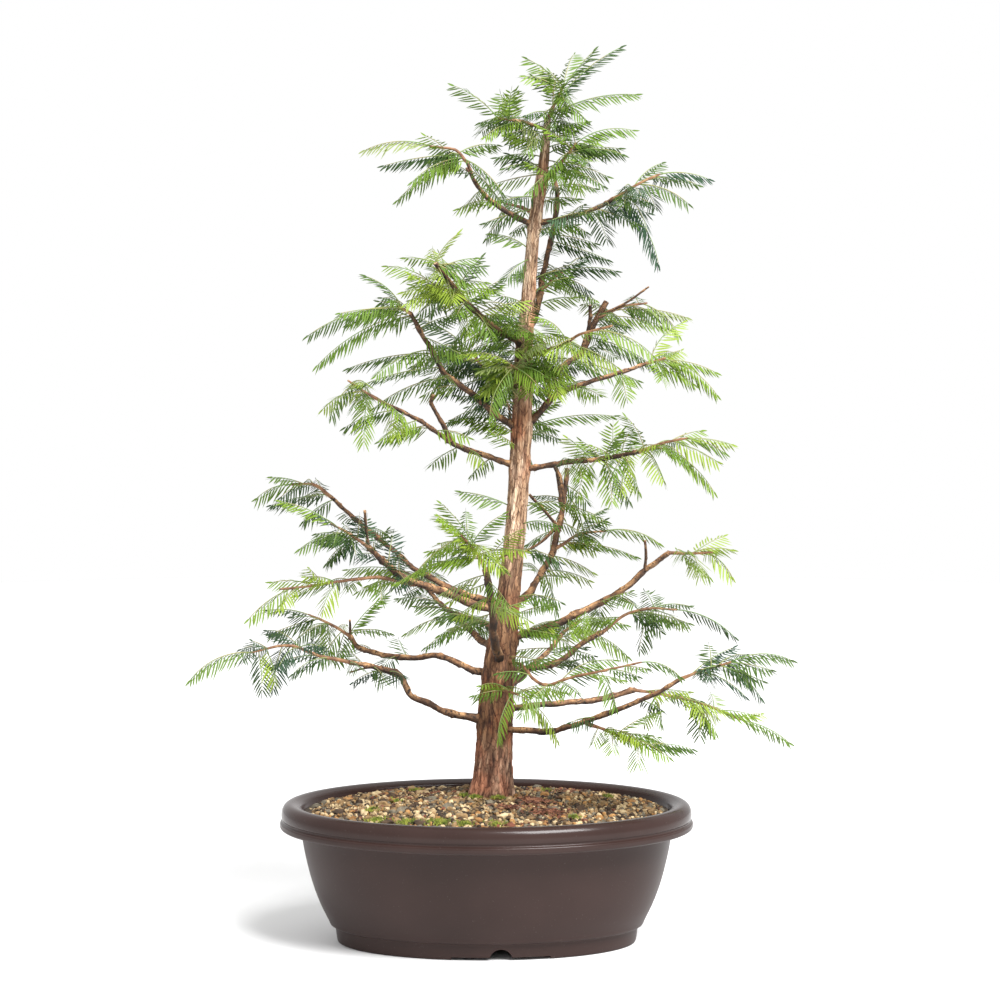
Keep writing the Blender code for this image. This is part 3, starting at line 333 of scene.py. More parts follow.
# Looks of the bark.
TRUNK_RING_SIDES = 116
TRUNK_RING_STEP = 1.35
TRUNK_BELOW = 3  # how far the bark reaches down into the grit
STRIPS = 3.1  # upright strips of bark come about six times this round the trunk
STRIP_LENGTH = 34
FURROW = 0.24
FLAKE_LENGTH = 23  # strips of bark end in a free lower edge about this often
BARK_DEPTH = (1.7, 0.45)  # at the foot and at the top of the trunk
BARK_WANDER = (0.35, 45)  # how far strips stray round the trunk, in radians, and over what height
FIBRE_LENGTH = 11
FLAKE_STRAY = 90  # the height over which the flakes' lower edges stray
COLLAR_REACH = (2.3, 1.7)  # of the swelling at a bough, up and round the trunk, in its radii
COLLAR_RISE = 0.36
LIMB_RING_STEP = 1.5
LIMB_SIDES = 16
LIMB_RELIEF = 0.11
LIMB_STRIPS = (1.5, 7)  # round a limb, and the length of one
LIMB_BEND = 0.36  # how far a limb strays from its smooth route, in radii
LIMB_WAVE = 14  # the length of its bends
BEND_SEED = 1  # of noise_vector, which follows the clock where no seed is set
LIMB_SWELL = 0.22
LIMB_STILL = (5, 3)  # it strays less this near its foot and its tip, in radii
FOOT_INSIDE = 0.55  # a limb begins this share of the way from its foot to its parent's middle
FOOT_DEPTH = 2.2  # and this far back along its way, in radii
FLARE = 0.9  # how much a limb swells where it grows out of its parent
FLARE_LENGTH = 1.5  # in radii
KNOT_PITCH = 9
KNOT_HEIGHT = (0.15, 0.6)  # in radii
KNOT_REACH = (0.9, 2.1)
KNOT_FADE = 3  # a knot is felt as far as this many reaches
KNOT_RELIEF = 0.4  # a knot this high counts as a relief of 1
TIP_RISE = 0.35  # of a limb's rounded tip, in radii
BLUNT_RISE = 0.02
CUT_STATIONS = ((0.82, -0.3), (0.82, 0.05), (0.6, 0.12), (0.3, 0.17))  # (radius, rise), in radii
SPUR_SEED = 300
TWIG_SEED = 100
TWIG_SIDES = 9
TWIG_FLARE = 0.7
BOUGH_FOOT = 1.05  # a bough's foot radius in its collar's
BLUNT = ("left_pruned", "right_pruned", "right_low_cut")  # boughs that end in a sawn face

# Pruned side shoots: (limb, place, foot radius, tip radius, legs). Each ends in a cut face.
SPURS = (
    ("left_hanging", 0.48, 2.3, 1.9, ((20, 210, 70), (18, 200, 60), (10, 300, 65))),
    ("left_low_back", 1, 1.4, 1.1, ((19, 270, 65),)),
    ("left_mid_low", 1, 1.5, 1.1, ((20, 240, 75), (18, 260, 75))),
    ("right_mid_low", 0.85, 1.6, 1.2, ((16, 245, 80), (13, 245, 80))),
    ("right_rising", 0.8, 2.2, 1.8, ((19, 195, 75), (14, 215, 80))),
    ("right_rising", 0.64, 1.7, 1.3, ((25, 200, 45), (20, 205, 45))),
    ("right_rising", 0.61, 1.6, 1.0, ((23, 210, -30), (21, 210, -25))),
    ("right_pruned", 0.6, 2, 1.7, ((22, 325, 75), (20, 280, 80))),
    ("right_pruned", 0.9, 1.3, 0.8, ((26, 355, 20), (29, 355, 35))),
    ("right_mid", 0.97, 1.6, 0.9, ((17, 355, 12), (14, 350, 0))),
    ("right_mid", 0.23, 1.8, 1.1, ((17, 305, -55), (25, 290, -70))),
    ("left_high", 0.8, 1.3, 1, ((15, 220, 50),)),
    ("left_low", 0.67, 1.3, 0.8, ((25, 185, 15), (22, 190, -10))),
    ("front_low", 0.97, 1.5, 0.9, ((20, 335, 45), (16, 335, 25))),
)

# Looks of a spray: needles in two rows along a thin shoot.
NEEDLE_TRUE = 17.5
NEEDLE_PITCH = 3.7
NEEDLE_HALF_WIDTH = 0.85
NEEDLE_STATIONS = ((0.3, 1.0), (0.72, 0.82))  # (share of the needle, share of its half width)
NEEDLE_FOLD = 0.28  # how deep the needle's fold is, in half widths
NEEDLE_FACES = ((0, 2, 1), (0, 3, 2), (1, 2, 5, 4), (2, 3, 6, 5), (4, 5, 7), (5, 6, 7))
FEWEST_NEEDLES = 6  # pairs
SHOOT_RADIUS = (0.62, 0.26)
SHOOT_SIDES = 4
SHOOT_BARE = 0.06
SHOOT_END = 0.92  # the shoot stops short of the source's rib, and its last needles reach on
ROW_SAG = (16, 46)
FORWARD = (60, 36)  # the needles' angle to the shoot, at its foot and at its tip
CURL_AHEAD = (0.08, 0.3)
CURL_DOWN = (0.06, 0.24)
NEEDLE_STRAY = 5.5  # degrees either way
ROW_STRAY = 1.5  # a needle strays this much more out of its row
NEEDLE_SIZES = (0.8, 1.12)

TONES = {  # (slot, colour)
    "lime": ("bright", (0.195, 0.27, 0.030)),
    "bright": ("bright", (0.128, 0.205, 0.020)),
    "fresh": ("bright", (0.085, 0.15, 0.017)),
    "mid": ("green", (0.052, 0.098, 0.015)),
    "deep": ("green", (0.028, 0.062, 0.013)),
    # The blue and bluish tones are painted shade: darker, cooler copies of the needles' green for sprays on
    # the shadow side.
    "blue": ("dark", (0.022, 0.053, 0.026)),
    "bluish": ("dark", (0.038, 0.076, 0.033)),
    "pale": ("bright", (0.18, 0.225, 0.07)),
}
DROPPED_COLOUR = (0.20, 0.12, 0.04)
TONE_SHARES = {
    "bright": (("lime", 0.24), ("bright", 0.40), ("fresh", 0.22), ("mid", 0.10), ("pale", 0.04)),
    "green": (("bright", 0.16), ("fresh", 0.34), ("mid", 0.32), ("deep", 0.12), ("pale", 0.06)),
    # The dark slot deals darker greens to sprays on the shadow side: painted shade over the needles' own
    # green.
    "dark": (("mid", 0.22), ("deep", 0.26), ("blue", 0.28), ("bluish", 0.24)),
}
FINE_PITCH = 50  # a fine spray for this much of a stem
FINE_LENGTH = (30, 46)
FINE_SPREAD = (30, 95)
FINE_LIFT = 8  # a fine spray starts this much steeper than a side spray
FINE_SEED = 500
FAN_SEED = 1300
LOOSE_DROOP = (10, 42)  # the bend of the sprays beyond the source's
# How the sprays of a fan stand: (degrees to either side of the limb's way, degrees above level).
FAN_STYLES = {
    "ahead": ((5, 40), (-12, 14)),
    "beside": ((40, 115), (-28, 38)),
    "behind": ((115, 165), (-20, 35)),
    "upright": ((20, 160), (42, 72)),
    "hanging": ((30, 110), (-68, -34)),
}
FAN_SIZES = (0.75, 1.2)

# Sprays that fill in along a limb: (limb, style, from, to, sprays, length).
LIMB_FANS = (
    ("left_mid_foliage", "ahead", 0.3, 0.9, 2, 80),
    ("left_mid", "ahead", 0.45, 0.8, 4, 106),
    ("left_mid", "beside", 0.35, 1, 7, 45),
    ("left_mid", "behind", 0.7, 0.9, 2, 40),
    ("left_hanging_foliage", "beside", 0.3, 0.9, 4, 58),
    ("left_hanging", "beside", 0.1, 1, 7, 42),
    ("left_hanging", "ahead", 0.55, 0.95, 3, 60),
    ("left_inner_mid_foliage", "ahead", 0.1, 1, 5, 60),
    ("left_inner_mid_foliage", "beside", 0, 1, 18, 50),
    ("left_inner_mid_foliage", "behind", 0.1, 0.8, 5, 50),
    ("front_mid_foliage", "beside", 0.1, 1, 9, 48),
    ("left_pruned_foliage", "beside", 0.2, 0.8, 5, 50),
    ("left_pruned", "beside", 0.1, 1, 21, 46),
    ("left_pruned", "behind", 0.3, 1, 8, 42),
    ("left_pruned", "upright", 0.4, 1, 6, 36),
    ("left_pruned", "behind", 0.92, 1, 4, 42),
    ("back_leader", "beside", 0.2, 0.9, 7, 48),
    ("back_leader", "ahead", 0.3, 0.8, 3, 78),
    ("right_crossing_foliage", "beside", 0.05, 0.6, 5, 42),
    ("right_pruned", "ahead", 0.4, 1, 6, 76),
    ("right_pruned", "beside", 0.1, 0.9, 11, 42),
    ("right_mid_high_foliage", "ahead", 0.1, 0.6, 2, 60),
    ("right_mid_high", "beside", 0.4, 0.8, 3, 45),
    ("right_mid_foliage", "ahead", 0.4, 1, 2, 48),
    ("right_mid", "beside", 0.25, 1, 13, 40),
    ("right_mid", "upright", 0.5, 0.85, 5, 40),
    ("right_mid", "hanging", 0.5, 0.95, 5, 50),
    ("top_foliage", "beside", 0, 1, 7, 36),
    ("top_foliage", "upright", 0.3, 1, 4, 36),
    ("top_foliage", "upright", 0.9, 1, 2, 44),
    ("top_left_foliage", "beside", 0.3, 1, 5, 40),
    ("top_left_foliage", "upright", 0.6, 1, 4, 36),
    ("top_right_foliage", "ahead", 0.35, 1, 4, 60),
    ("top_right_foliage", "beside", 0.3, 1, 4, 42),
    ("top_right_foliage", "upright", 0.8, 1, 2, 45),
    ("left_high_foliage", "ahead", 0, 0.3, 3, 78),
    ("left_high_foliage", "beside", 0, 0.5, 3, 36),
    ("left_high", "beside", 0.6, 0.95, 4, 42),
    ("right_high_foliage", "beside", 0.1, 0.7, 2, 44),
    ("right_high", "ahead", 0.6, 1, 3, 50),
    ("right_high", "beside", 0.2, 1, 11, 42),
    ("left_mid_low_upper_foliage", "ahead", 0, 0.2, 1, 68),
    ("left_mid_low_upper", "beside", 0.7, 1, 4, 38),
    ("left_mid_low_foliage", "beside", 0.2, 0.6, 4, 42),
    ("left_mid_low", "beside", 0.5, 1, 8, 37),
    ("left_mid_low", "upright", 0.6, 1, 4, 42),
    ("left_mid_low_foliage", "upright", 0, 0.5, 2, 42),
    ("left_trailing_foliage", "ahead", 0.3, 0.9, 2, 56),
    ("left_trailing_foliage", "beside", 0.1, 0.7, 2, 38),
    ("left_inner_low_foliage", "beside", 0.3, 0.9, 2, 46),
    ("front_low_foliage", "beside", 0.3, 1, 7, 50),
    ("front_low_foliage", "upright", 0.3, 0.9, 3, 56),
    ("front_low", "beside", 0.4, 1, 9, 42),
    ("left_low_back_foliage", "ahead", 0.4, 1, 2, 50),
    ("left_low_back", "beside", 0.5, 1, 4, 40),
    ("left_low_back_foliage", "hanging", 0, 0.6, 3, 42),
    ("left_low_foliage", "beside", 0.2, 1, 4, 34),
    ("left_low_foliage", "hanging", 0.4, 1, 2, 44),
    ("left_low", "beside", 0.6, 1, 6, 38),
    ("right_rising_foliage", "beside", 0.05, 0.7, 3, 52),
    ("right_rising", "beside", 0.1, 0.9, 15, 43),
    ("right_rising", "hanging", 0.3, 1, 3, 42),
    ("right_mid_low_foliage", "beside", 0.3, 0.7, 2, 38),
    ("right_mid_low", "beside", 0.05, 0.65, 11, 42),
    ("right_low_back_foliage", "ahead", 0.1, 1, 2, 55),
    ("right_low_back_foliage", "beside", 0.2, 0.7, 2, 42),
    ("right_low_back", "beside", 0.3, 0.8, 3, 40),
    ("right_low_front_foliage", "ahead", 0.3, 1, 3, 46),
    ("right_low_cut_foliage", "ahead", 0.05, 1, 6, 46),
    ("right_low_cut_foliage", "hanging", 0, 0.9, 3, 44),
    ("right_low_foliage", "ahead", 0.7, 1, 3, 46),
    ("right_low_foliage", "beside", 0.4, 1, 4, 36),
    ("right_low_side_foliage", "ahead", 0.2, 0.7, 3, 58),
    ("right_low_side_foliage", "beside", 0.2, 1, 3, 34),
    ("right_low", "beside", 0.5, 1, 2, 38),
    ("back_left_low", "beside", 0.3, 1, 8, 52),
    ("back_right_low", "beside", 0.3, 1, 8, 52),
    ("back_mid_foliage", "beside", 0.1, 1, 8, 52),
)

# Sprays that grow straight from the trunk: (low, high, way, spread, sprays, length, colour), with
# heights above the grit, and 0 for the way to the right and 270 for the way to the front.
TRUNK_FANS = (
    (105, 195, 330, 25, 7, 52, "green"),
    (235, 305, 335, 25, 3, 44, "green"),
    (275, 290, 185, 8, 1, 66, "green"),
    (330, 365, 215, 20, 2, 40, "green"),
    (355, 368, 0, 8, 1, 76, "bright"),
    (380, 460, 235, 30, 12, 47, "bright"),
    (390, 470, 300, 40, 14, 48, "bright"),
    (395, 470, 90, 70, 8, 48, "green"),
    (475, 600, 215, 25, 5, 44, "green"),
    (470, 600, 318, 25, 4, 40, "green"),
    (480, 640, 90, 35, 6, 44, "green"),
    (600, 658, 205, 35, 9, 40, "green"),
    (600, 658, 325, 30, 9, 42, "green"),
)
TRUNK_LIFT = (-15, 40)
TRUNK_MASS = "left_inner_mid_foliage"  # the mass that sprays on the trunk count with

# Sprays of another colour than their mass, by their number in the source's row.
OUTLINE_COLOURS = {
    ("left_low_foliage", 0): "bright",
    ("left_low_foliage", 1): "bright",
    ("left_mid_low_foliage", 0): "bright",
    ("left_mid_low_foliage", 1): "green",
    ("left_low_back_foliage", 2): "dark",
}

# Studio: metres and degrees.
CAMERA_PLACE = (0.013, -3.0, 0.67)
CAMERA_PITCH = -4.58
CAMERA_LENS = 112.57
SENSOR = 36
FLOOR_RADIUS = 3400  # millimetres
FLOOR_SIDES = 96
LAMP_PLACE = (1.4, -1.9, 3.1)
LAMP_TARGET = (0, 0, 0.35)
LAMP_SIZE = 1.7
LAMP_POWER = 285


# ---- common helpers


def heading(azimuth, pitch):
    """The unit vector at this azimuth and pitch."""
    level = math.cos(math.radians(pitch))
    return Vector((
        level * math.cos(math.radians(azimuth)),
        level * math.sin(math.radians(azimuth)),
        math.sin(math.radians(pitch)),
    ))


def azimuth_of(way):
    """The azimuth of a vector, in degrees."""
    return math.degrees(math.atan2(way.y, way.x))


def blend(low, high, share):
    """The value at this share of the way from low to high."""
    return low + (high - low) * share


def at_height(stations, height):
    """The row of numbers at a height, between the stations (height, numbers...)."""
    height = min(max(height, stations[0][0]), stations[-1][0])
    for low, high in zip(stations, stations[1:]):
        if height <= high[0]:
            break
    share = (height - low[0]) / (high[0] - low[0])
    return [blend(a, b, share) for a, b in zip(low, high)]


def pick(rng, shares):
    """One of the names, each as often as its share says."""
    left = rng.random() * sum(share for _, share in shares)
    for name, share in shares:
        left -= share
        if left <= 0:
            return name
    return shares[-1][0]


def turns(sides):
    """The angles of a ring's corners, in radians."""
    return [2 * math.pi * k / sides for k in range(sides)]


def turn_between(turn, other):
    """The angle from one turn to another, at most half a turn either way."""
    return (turn - other + math.pi) % (2 * math.pi) - math.pi


class Shape:
    """Vertices and faces that grow, with a relief value for each vertex where it is wanted."""

    def __init__(self):
        self.vertices = []
        self.faces = []
        self.relief = []

    def add(self, vertices, faces, relief=()):
        first = len(self.vertices)
        self.vertices += vertices
        self.faces += [tuple(first + corner for corner in face) for face in faces]
        self.relief += relief


def new_object(name, vertices, faces):
    """A mesh object in the scene."""
    mesh = bpy.data.meshes.new(name)
    mesh.from_pydata(vertices, [], faces)
    made = bpy.data.objects.new(name, mesh)
    bpy.context.scene.collection.objects.link(made)
    return made


def piece(name, shape, finish, replaced=(), smooth=True):
    """A visible piece of the object: it rides on the body and takes the finish it is given."""
    made = new_object(name, shape.vertices, shape.faces)
    if shape.relief:
        layer = made.data.attributes.new("relief", "FLOAT", "POINT")
        layer.data.foreach_set("value", shape.relief)
    made.data.materials.append(finish)
    if smooth:
        made.data.shade_smooth()
    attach(made, BODY)
    if replaced:
        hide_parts(*replaced)
    return made


def bridge(sides, rings):
    """Quads between neighbouring rings of vertices, the first ring's numbers starting at 0."""
    faces = []
    for first in range(0, (rings - 1) * sides, sides):
        for k in range(sides):
            after = (k + 1) % sides
            faces.append((first + k, first + after, first + sides + after, first + sides + k))
    return faces


def stack(rings):
    """A closed shape through rings of equal count, which run anticlockwise as seen from ahead."""
    sides = len(rings[0])
    vertices = [point for ring in rings for point in ring]
    faces = [tuple(reversed(range(sides)))]
    faces += bridge(sides, len(rings))
    faces.append(tuple(range(len(vertices) - sides, len(vertices))))
    return vertices, faces


def circle(centre, ahead, side, radius, sides):
    """A ring of points round `centre`, anticlockwise as seen from ahead."""
    across = ahead.cross(side)
    return [centre + (side * math.cos(turn) + across * math.sin(turn)) * radius for turn in turns(sides)]


def node_tree(name):
    """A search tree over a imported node's faces."""
    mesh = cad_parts[name].data
    return tree_of(([v.co for v in mesh.vertices], [tuple(f.vertices) for f in mesh.polygons]))


def tree_of(shape):
    """A search tree over a shape's faces, to test what touches it."""
    return BVHTree.FromPolygons(*shape)


# ---- limbs: the source's rule


def trunk_at(height):
    """The trunk's centre and radius at a height above the grit, both in metres."""
    height, x, radius = at_height(TRUNK, height)
    return Vector((x, TRUNK_Y, TRUNK_FOOT + height)) * MM, radius * MM


def trunk_wall(height, azimuth):
    """A point on the trunk's surface, before its bark."""
    centre, radius = trunk_at(height)
    fade = math.exp(-height / ROOT_LOBE_FADE)
    lobe = math.cos(math.radians(ROOT_LOBES * azimuth + ROOT_LOBE_TURN))
    return centre + heading(azimuth, 0) * radius * (1 + ROOT_LOBE_SIZE * fade * lobe)


def limb_shape(points, facing, radii, sides):
    """A closed tapering limb through the points. Its foot lies square to `facing`."""
    along = [(after - before).normalized() for before, after in zip(points, points[1:])]
    ahead = [facing]
    ahead += [(a + b).normalized() for a, b in zip(along, along[1:])]
    ahead.append(along[-1])
    side = facing.orthogonal()
    rings = []
    for point, direction, radius in zip(points, ahead, radii):
        side = (side - direction * side.dot(direction)).normalized()
        rings.append(circle(point, direction, side, radius, sides))
    return stack(rings)


def steps_of(points):
    """The length of each step between the points."""
    return [(after - before).length for before, after in zip(points, points[1:])]


def along_limb(points, share):
    """The point and the direction at this share of a limb's length."""
    lengths = steps_of(points)
    left = share * sum(lengths)
    k = 0
    while left > lengths[k] and k < len(lengths) - 1:
        left -= lengths[k]
        k += 1
    point = points[k].lerp(points[k + 1], min(left / lengths[k], 1))
    return point, (points[k + 1] - points[k]).normalized()


def foot_of(limbs, parent, place, away):
    """Where a limb that heads `away` leaves its parent: (parent's centre, foot, facing)."""
    if parent == "trunk":
        azimuth = azimuth_of(away)
        centre, radius = trunk_at(place)
        height = place + radius / MM * away.z / math.hypot(away.x, away.y)
        foot = trunk_wall(height, azimuth)
        rise = trunk_wall(height + WALL_STEP, azimuth) - trunk_wall(height - WALL_STEP, azimuth)
        facing = heading(azimuth + 90, 0).cross(rise).normalized()
        return centre, foot + facing * SEAT * MM, facing
    points, radii = limbs[parent]
    centre, along = along_limb(points, place)
    if place == 1:
        return centre, centre + along * GAP, along
    radius = blend(radii[0], radii[-1], place)
    facing = (away - along * away.dot(along)).normalized()
    return centre, centre + facing * (radius + GAP), facing


def limb_route(limbs, parent, place, legs, radius):
    """The points of a limb from its legs, with a collar near its foot, and its foot's facing."""
    centre, foot, facing = foot_of(limbs, parent, place, heading(*legs[0][1:]))
    ends = []
    for length, azimuth, pitch in legs:
        centre = centre + heading(azimuth, pitch) * length * MM
        ends.append(centre)
    collar = foot.lerp(ends[0], min(COLLAR_LENGTH * radius / (ends[0] - foot).length, 0.5))
    return [foot, collar] + ends, facing


def taper(points, radius, tip_radius, swell=1):
    """Radii from foot to tip, in proportion to length, with the foot swollen."""
    lengths = [0, *itertools.accumulate(steps_of(points))]
    radii = [radius + (tip_radius - radius) * length / lengths[-1] for length in lengths]
    radii[0] *= swell
    return radii


def lay_out_boughs():
    """Every limb's route and radii by name, and the boughs' plain shapes."""
    tip, tip_radius = trunk_at(TRUNK[-1][0])
    below, _ = trunk_at(TRUNK[-2][0])
    limbs = {"trunk_tip": ([below, tip], [tip_radius, tip_radius])}
    shapes = []
    for name, parent, place, radius, tip_radius, legs in BOUGHS:
        points, facing = limb_route(limbs, parent, place, legs, radius * MM)
        radii = taper(points, radius * MM, tip_radius * MM, COLLAR)
        limbs[name] = (points, radii)
        shapes.append(limb_shape(points, facing, radii, BOUGH_SIDES))
    return limbs, shapes


def grow_stems(limbs):
    """Each mass's stem by name: (points, radii, plain shape)."""
    stems = {}
    for name, parent, place, legs, *_ in MASSES:
        radius = min(STEM_RADIUS * MM, limbs[parent][1][-1] if parent in limbs else 1)
        points, facing = limb_route(limbs, parent, place, legs, radius)
        radii = taper(points, radius, STEM_TIP_RADIUS * MM)
        stems[name] = (points, radii, limb_shape(points, facing, radii, STEM_SIDES))
    return stems


# ---- sprays: the source's rule


def arch(start, azimuth, pitch, length, droop, sway):
    """Points of a spray's rib, which bends down and sideways along its length."""
    points = [start]
    for k in range(ARCH_STEPS):
        share = (k + 0.5) / ARCH_STEPS
        step = heading(azimuth + sway * share, pitch - droop * share)
        points.append(points[-1] + step * length / ARCH_STEPS)
    return points


def needle_length(share):
    """A needle's length at this share of the leafy stretch: longest before the middle."""
    if share < LONGEST_AT:
        swell = math.sin(math.pi / 2 * share / LONGEST_AT)
        return NEEDLE * (FOOT_NEEDLE + (1 - FOOT_NEEDLE) * swell)
    fade = math.cos(math.pi / 2 * (share - LONGEST_AT) / (1 - LONGEST_AT))
    return NEEDLE * (TIP_NEEDLE + (1 - TIP_NEEDLE) * fade)


def leaned(ahead, roll):
    """The side and the top of a blade that heads `ahead` and leans by `roll` degrees."""
    level = UP.cross(ahead).normalized()
    above = ahead.cross(level)
    lean = math.radians(roll)
    side = level * math.cos(lean) + above * math.sin(lean)
    return side, ahead.cross(side)


def blade_shape(points, length, roll, grown):
    """The source's toothed blade along the rib's points, to test what a spray comes near."""
    teeth = max(FEWEST_TEETH, round(length / MM / TOOTH_PITCH))
    leafy = (1 - BARE_SHARE) * LEAFY_END
    vertices = []
    frames = []
    for share in [0] + [BARE_SHARE + leafy * k / teeth for k in range(teeth + 1)]:
        centre, ahead = along_limb(points, share)
        side, top = leaned(ahead, roll)
        frames.append((centre, ahead, side, top))
        size = blend(RIB_FOOT, RIB_TIP, share) * MM / 2 + grown
        vertices += [centre + top * size, centre - (side + top) * size, centre + (side - top) * size]
    faces = [(2, 1, 0)] + bridge(3, 2)
    for k in range(teeth):
        first = 3 * (k + 1)
        centre = (frames[k + 1][0] + frames[k + 2][0]) / 2
        _, ahead, side, top = frames[k + 1]
        reach = needle_length((k + 0.5) / teeth) * MM + grown
        forward = ahead * math.cos(math.radians(NEEDLE_FORWARD))
        sag = top * math.sin(math.radians(NEEDLE_SAG))
        out = side * math.sin(math.radians(NEEDLE_FORWARD))
        faces.append((first + 1, first + 2, first + 5, first + 4))
        for flank, corners in ((-1, (0, 1, 4, 3)), (1, (2, 0, 3, 5))):
            apex = len(vertices)
            vertices.append(centre + (forward + out * flank - sag) * reach)
            ring = [first + corner for corner in corners]
            faces += [(a, b, apex) for a, b in zip(ring, ring[1:] + ring[:1])]
    last = 3 * (teeth + 1)
    faces += [(last + k, last + (k + 1) % 3, len(vertices)) for k in range(3)]
    vertices.append(points[-1])
    return vertices, faces


def in_crown(points):
    """Whether a rib keeps to the crown, which narrows evenly from its foot to its top."""
    for point in points:
        share = (point.z / MM - CROWN_FOOT[0]) / (CROWN_TOP[0] - CROWN_FOOT[0])
        radius = blend(CROWN_FOOT[1], CROWN_TOP[1], share)
        if abs(point.y / MM - TRUNK_Y) > radius or not 0 < share < 1:
            return False
    return True


def side_azimuth(stem, share, k, spread, rng):
    """The azimuth of a spray that turns from its stem, to the left and to the right by turns."""
    _, along = along_limb(stem, share)
    return azimuth_of(along) + (1 if k % 2 else -1) * rng.uniform(*spread)


def draw_sprays(stem, outline, count, side_length, rng):
    """The sprays that a mass should have, each (share of stem, azimuth, pitch, length)."""
    wanted = list(outline)
    for k in range(count):
        share = FIRST_SIDE_SHARE + (1 - FIRST_SIDE_SHARE) * (k + 0.4) / count
        azimuth = side_azimuth(stem, share, k, SPREAD, rng)
        pitch = rng.uniform(*LIFT)
        wanted.append((share, azimuth, pitch, side_length * rng.uniform(*LENGTH_SPREAD)))
    return wanted


def place_spray(stem, spray, obstacles, rng, droop=DROOP):
    """The spray's rib, size and roll, redrawn a little until it clears the obstacles, or None."""
    share, azimuth, pitch, length = spray
    start, _ = along_limb(stem, share)
    for attempt in range(TRIES):
        loose = TURN_PER_TRY * attempt
        turned = azimuth + rng.uniform(-loose, loose)
        raised = pitch + rng.uniform(-loose, loose) / 2
        size = length * MM * (1 - SHRINK_PER_TRY * attempt)
        points = arch(start, turned, raised, size, rng.uniform(*droop), rng.uniform(*SWAY))
        roll = rng.uniform(*ROLL)
        tested = tree_of(blade_shape(points, size, roll, GAP))
        if in_crown(points) and not any(other.overlap(tested) for other in obstacles):
            return points, size, roll
    return None


def source_sprays(stems, solids):
    """The sprays that the source has too, kept clear of the wood and of each other's masses."""
    stem_trees = {name: tree_of(shape) for name, (_, _, shape) in stems.items()}
    trees = list(solids)
    sprays = []
    for number, (name, _, _, _, colour, count, side_length, outline) in enumerate(MASSES):
        rng = random.Random(FOLIAGE_SEED + number)
        stem = stems[name][0]
        others = trees + [tree for other, tree in stem_trees.items() if other != name]
        grown = []
        for k, spray in enumerate(draw_sprays(stem, outline, count, side_length, rng)):
            placed = place_spray(stem, spray, others, rng)
            if placed:
                grown.append(placed)
                sprays.append((name, OUTLINE_COLOURS.get((name, k), colour), *placed))
        trees += [tree_of(blade_shape(*placed, 0)) for placed in grown]
    return sprays


# ---- finer sprays


def draw_fine_sprays(stems):
    """Short sprays that fill in along the stems, each (stem, spray, mass, colour, rng)."""
    drawn = []
    for number, (name, _, _, _, colour, *_) in enumerate(MASSES):
        rng = random.Random(FINE_SEED + number)
        stem = stems[name][0]
        count = max(2, round(sum(steps_of(stem)) / MM / FINE_PITCH))
        wanted = []
        for k in range(count):
            share = (k + rng.uniform(0.2, 0.8)) / count
            azimuth = side_azimuth(stem, share, k, FINE_SPREAD, rng)
            wanted.append((share, azimuth, rng.uniform(*LIFT) + FINE_LIFT, rng.uniform(*FINE_LENGTH)))
        drawn += [(stem, spray, name, colour, rng) for spray in wanted]
    return drawn


def nearest_mass(limb):
    """The mass that a limb's added sprays belong to, with its colour."""
    for row in MASSES:
        if limb in row[:2]:
            return row[0], row[4]
    return TRUNK_MASS, "green"


def draw_limb_fans(limbs, stems):
    """The sprays that fill in along limbs, each (stem, spray, mass, colour, rng)."""
    drawn = []
    for number, (name, style, low, high, count, length) in enumerate(LIMB_FANS):
        rng = random.Random(FAN_SEED + number)
        mass, colour = nearest_mass(name)
        stem = stems[name][0] if name in stems else limbs[name][0]
        spread, lift = FAN_STYLES[style]
        for k in range(count):
            share = blend(low, high, (k + rng.random()) / count)
            azimuth = side_azimuth(stem, share, k, spread, rng)
            spray = (share, azimuth, rng.uniform(*lift), length * rng.uniform(*FAN_SIZES))
            drawn.append((stem, spray, mass, colour, rng))
    return drawn


def draw_trunk_fans():
    """The sprays that grow straight from the trunk, each (stem, spray, mass, colour, rng)."""
    drawn = []
    for number, (low, high, way, spread, count, length, colour) in enumerate(TRUNK_FANS):
        rng = random.Random(FAN_SEED + len(LIMB_FANS) + number)
        for k in range(count):
            azimuth = way + rng.uniform(-spread, spread)
            centre, radius = trunk_at(blend(low, high, (k + rng.random()) / count))
            start = centre + heading(azimuth, 0) * radius
            spray = (0, azimuth, rng.uniform(*TRUNK_LIFT), length * rng.uniform(*FAN_SIZES))
            stem = [start, start + heading(azimuth, 0) * MM]
            drawn.append((stem, spray, TRUNK_MASS, colour, rng))
    return drawn


def grow_sprays(limbs, stems, bough_shapes):
    """Every spray, as (mass, colour, rib, size, roll)."""
    solids = [node_tree(name) for name in ("pot", "grit", "trunk")]
    solids += [tree_of(shape) for shape in bough_shapes]
    sprays = source_sprays(stems, solids)
    fans = draw_limb_fans(limbs, stems) + draw_trunk_fans()
    for drawn, obstacles in ((draw_fine_sprays(stems), solids), (fans, [])):
        for stem, spray, mass, colour, rng in drawn:
            placed = place_spray(stem, spray, obstacles, rng, LOOSE_DROOP)
            if placed:
                sprays.append((mass, colour, *placed))
    return sprays


# ---- needles and shoots


def rib_at(points, share):
    """The rib's centre and its direction, which turns smoothly."""
    centre, _ = along_limb(points, share)
    before, _ = along_limb(points, max(share - 0.5 / ARCH_STEPS, 0))
    after, _ = along_limb(points, min(share + 0.5 / ARCH_STEPS, 1))
    return centre, (after - before).normalized()


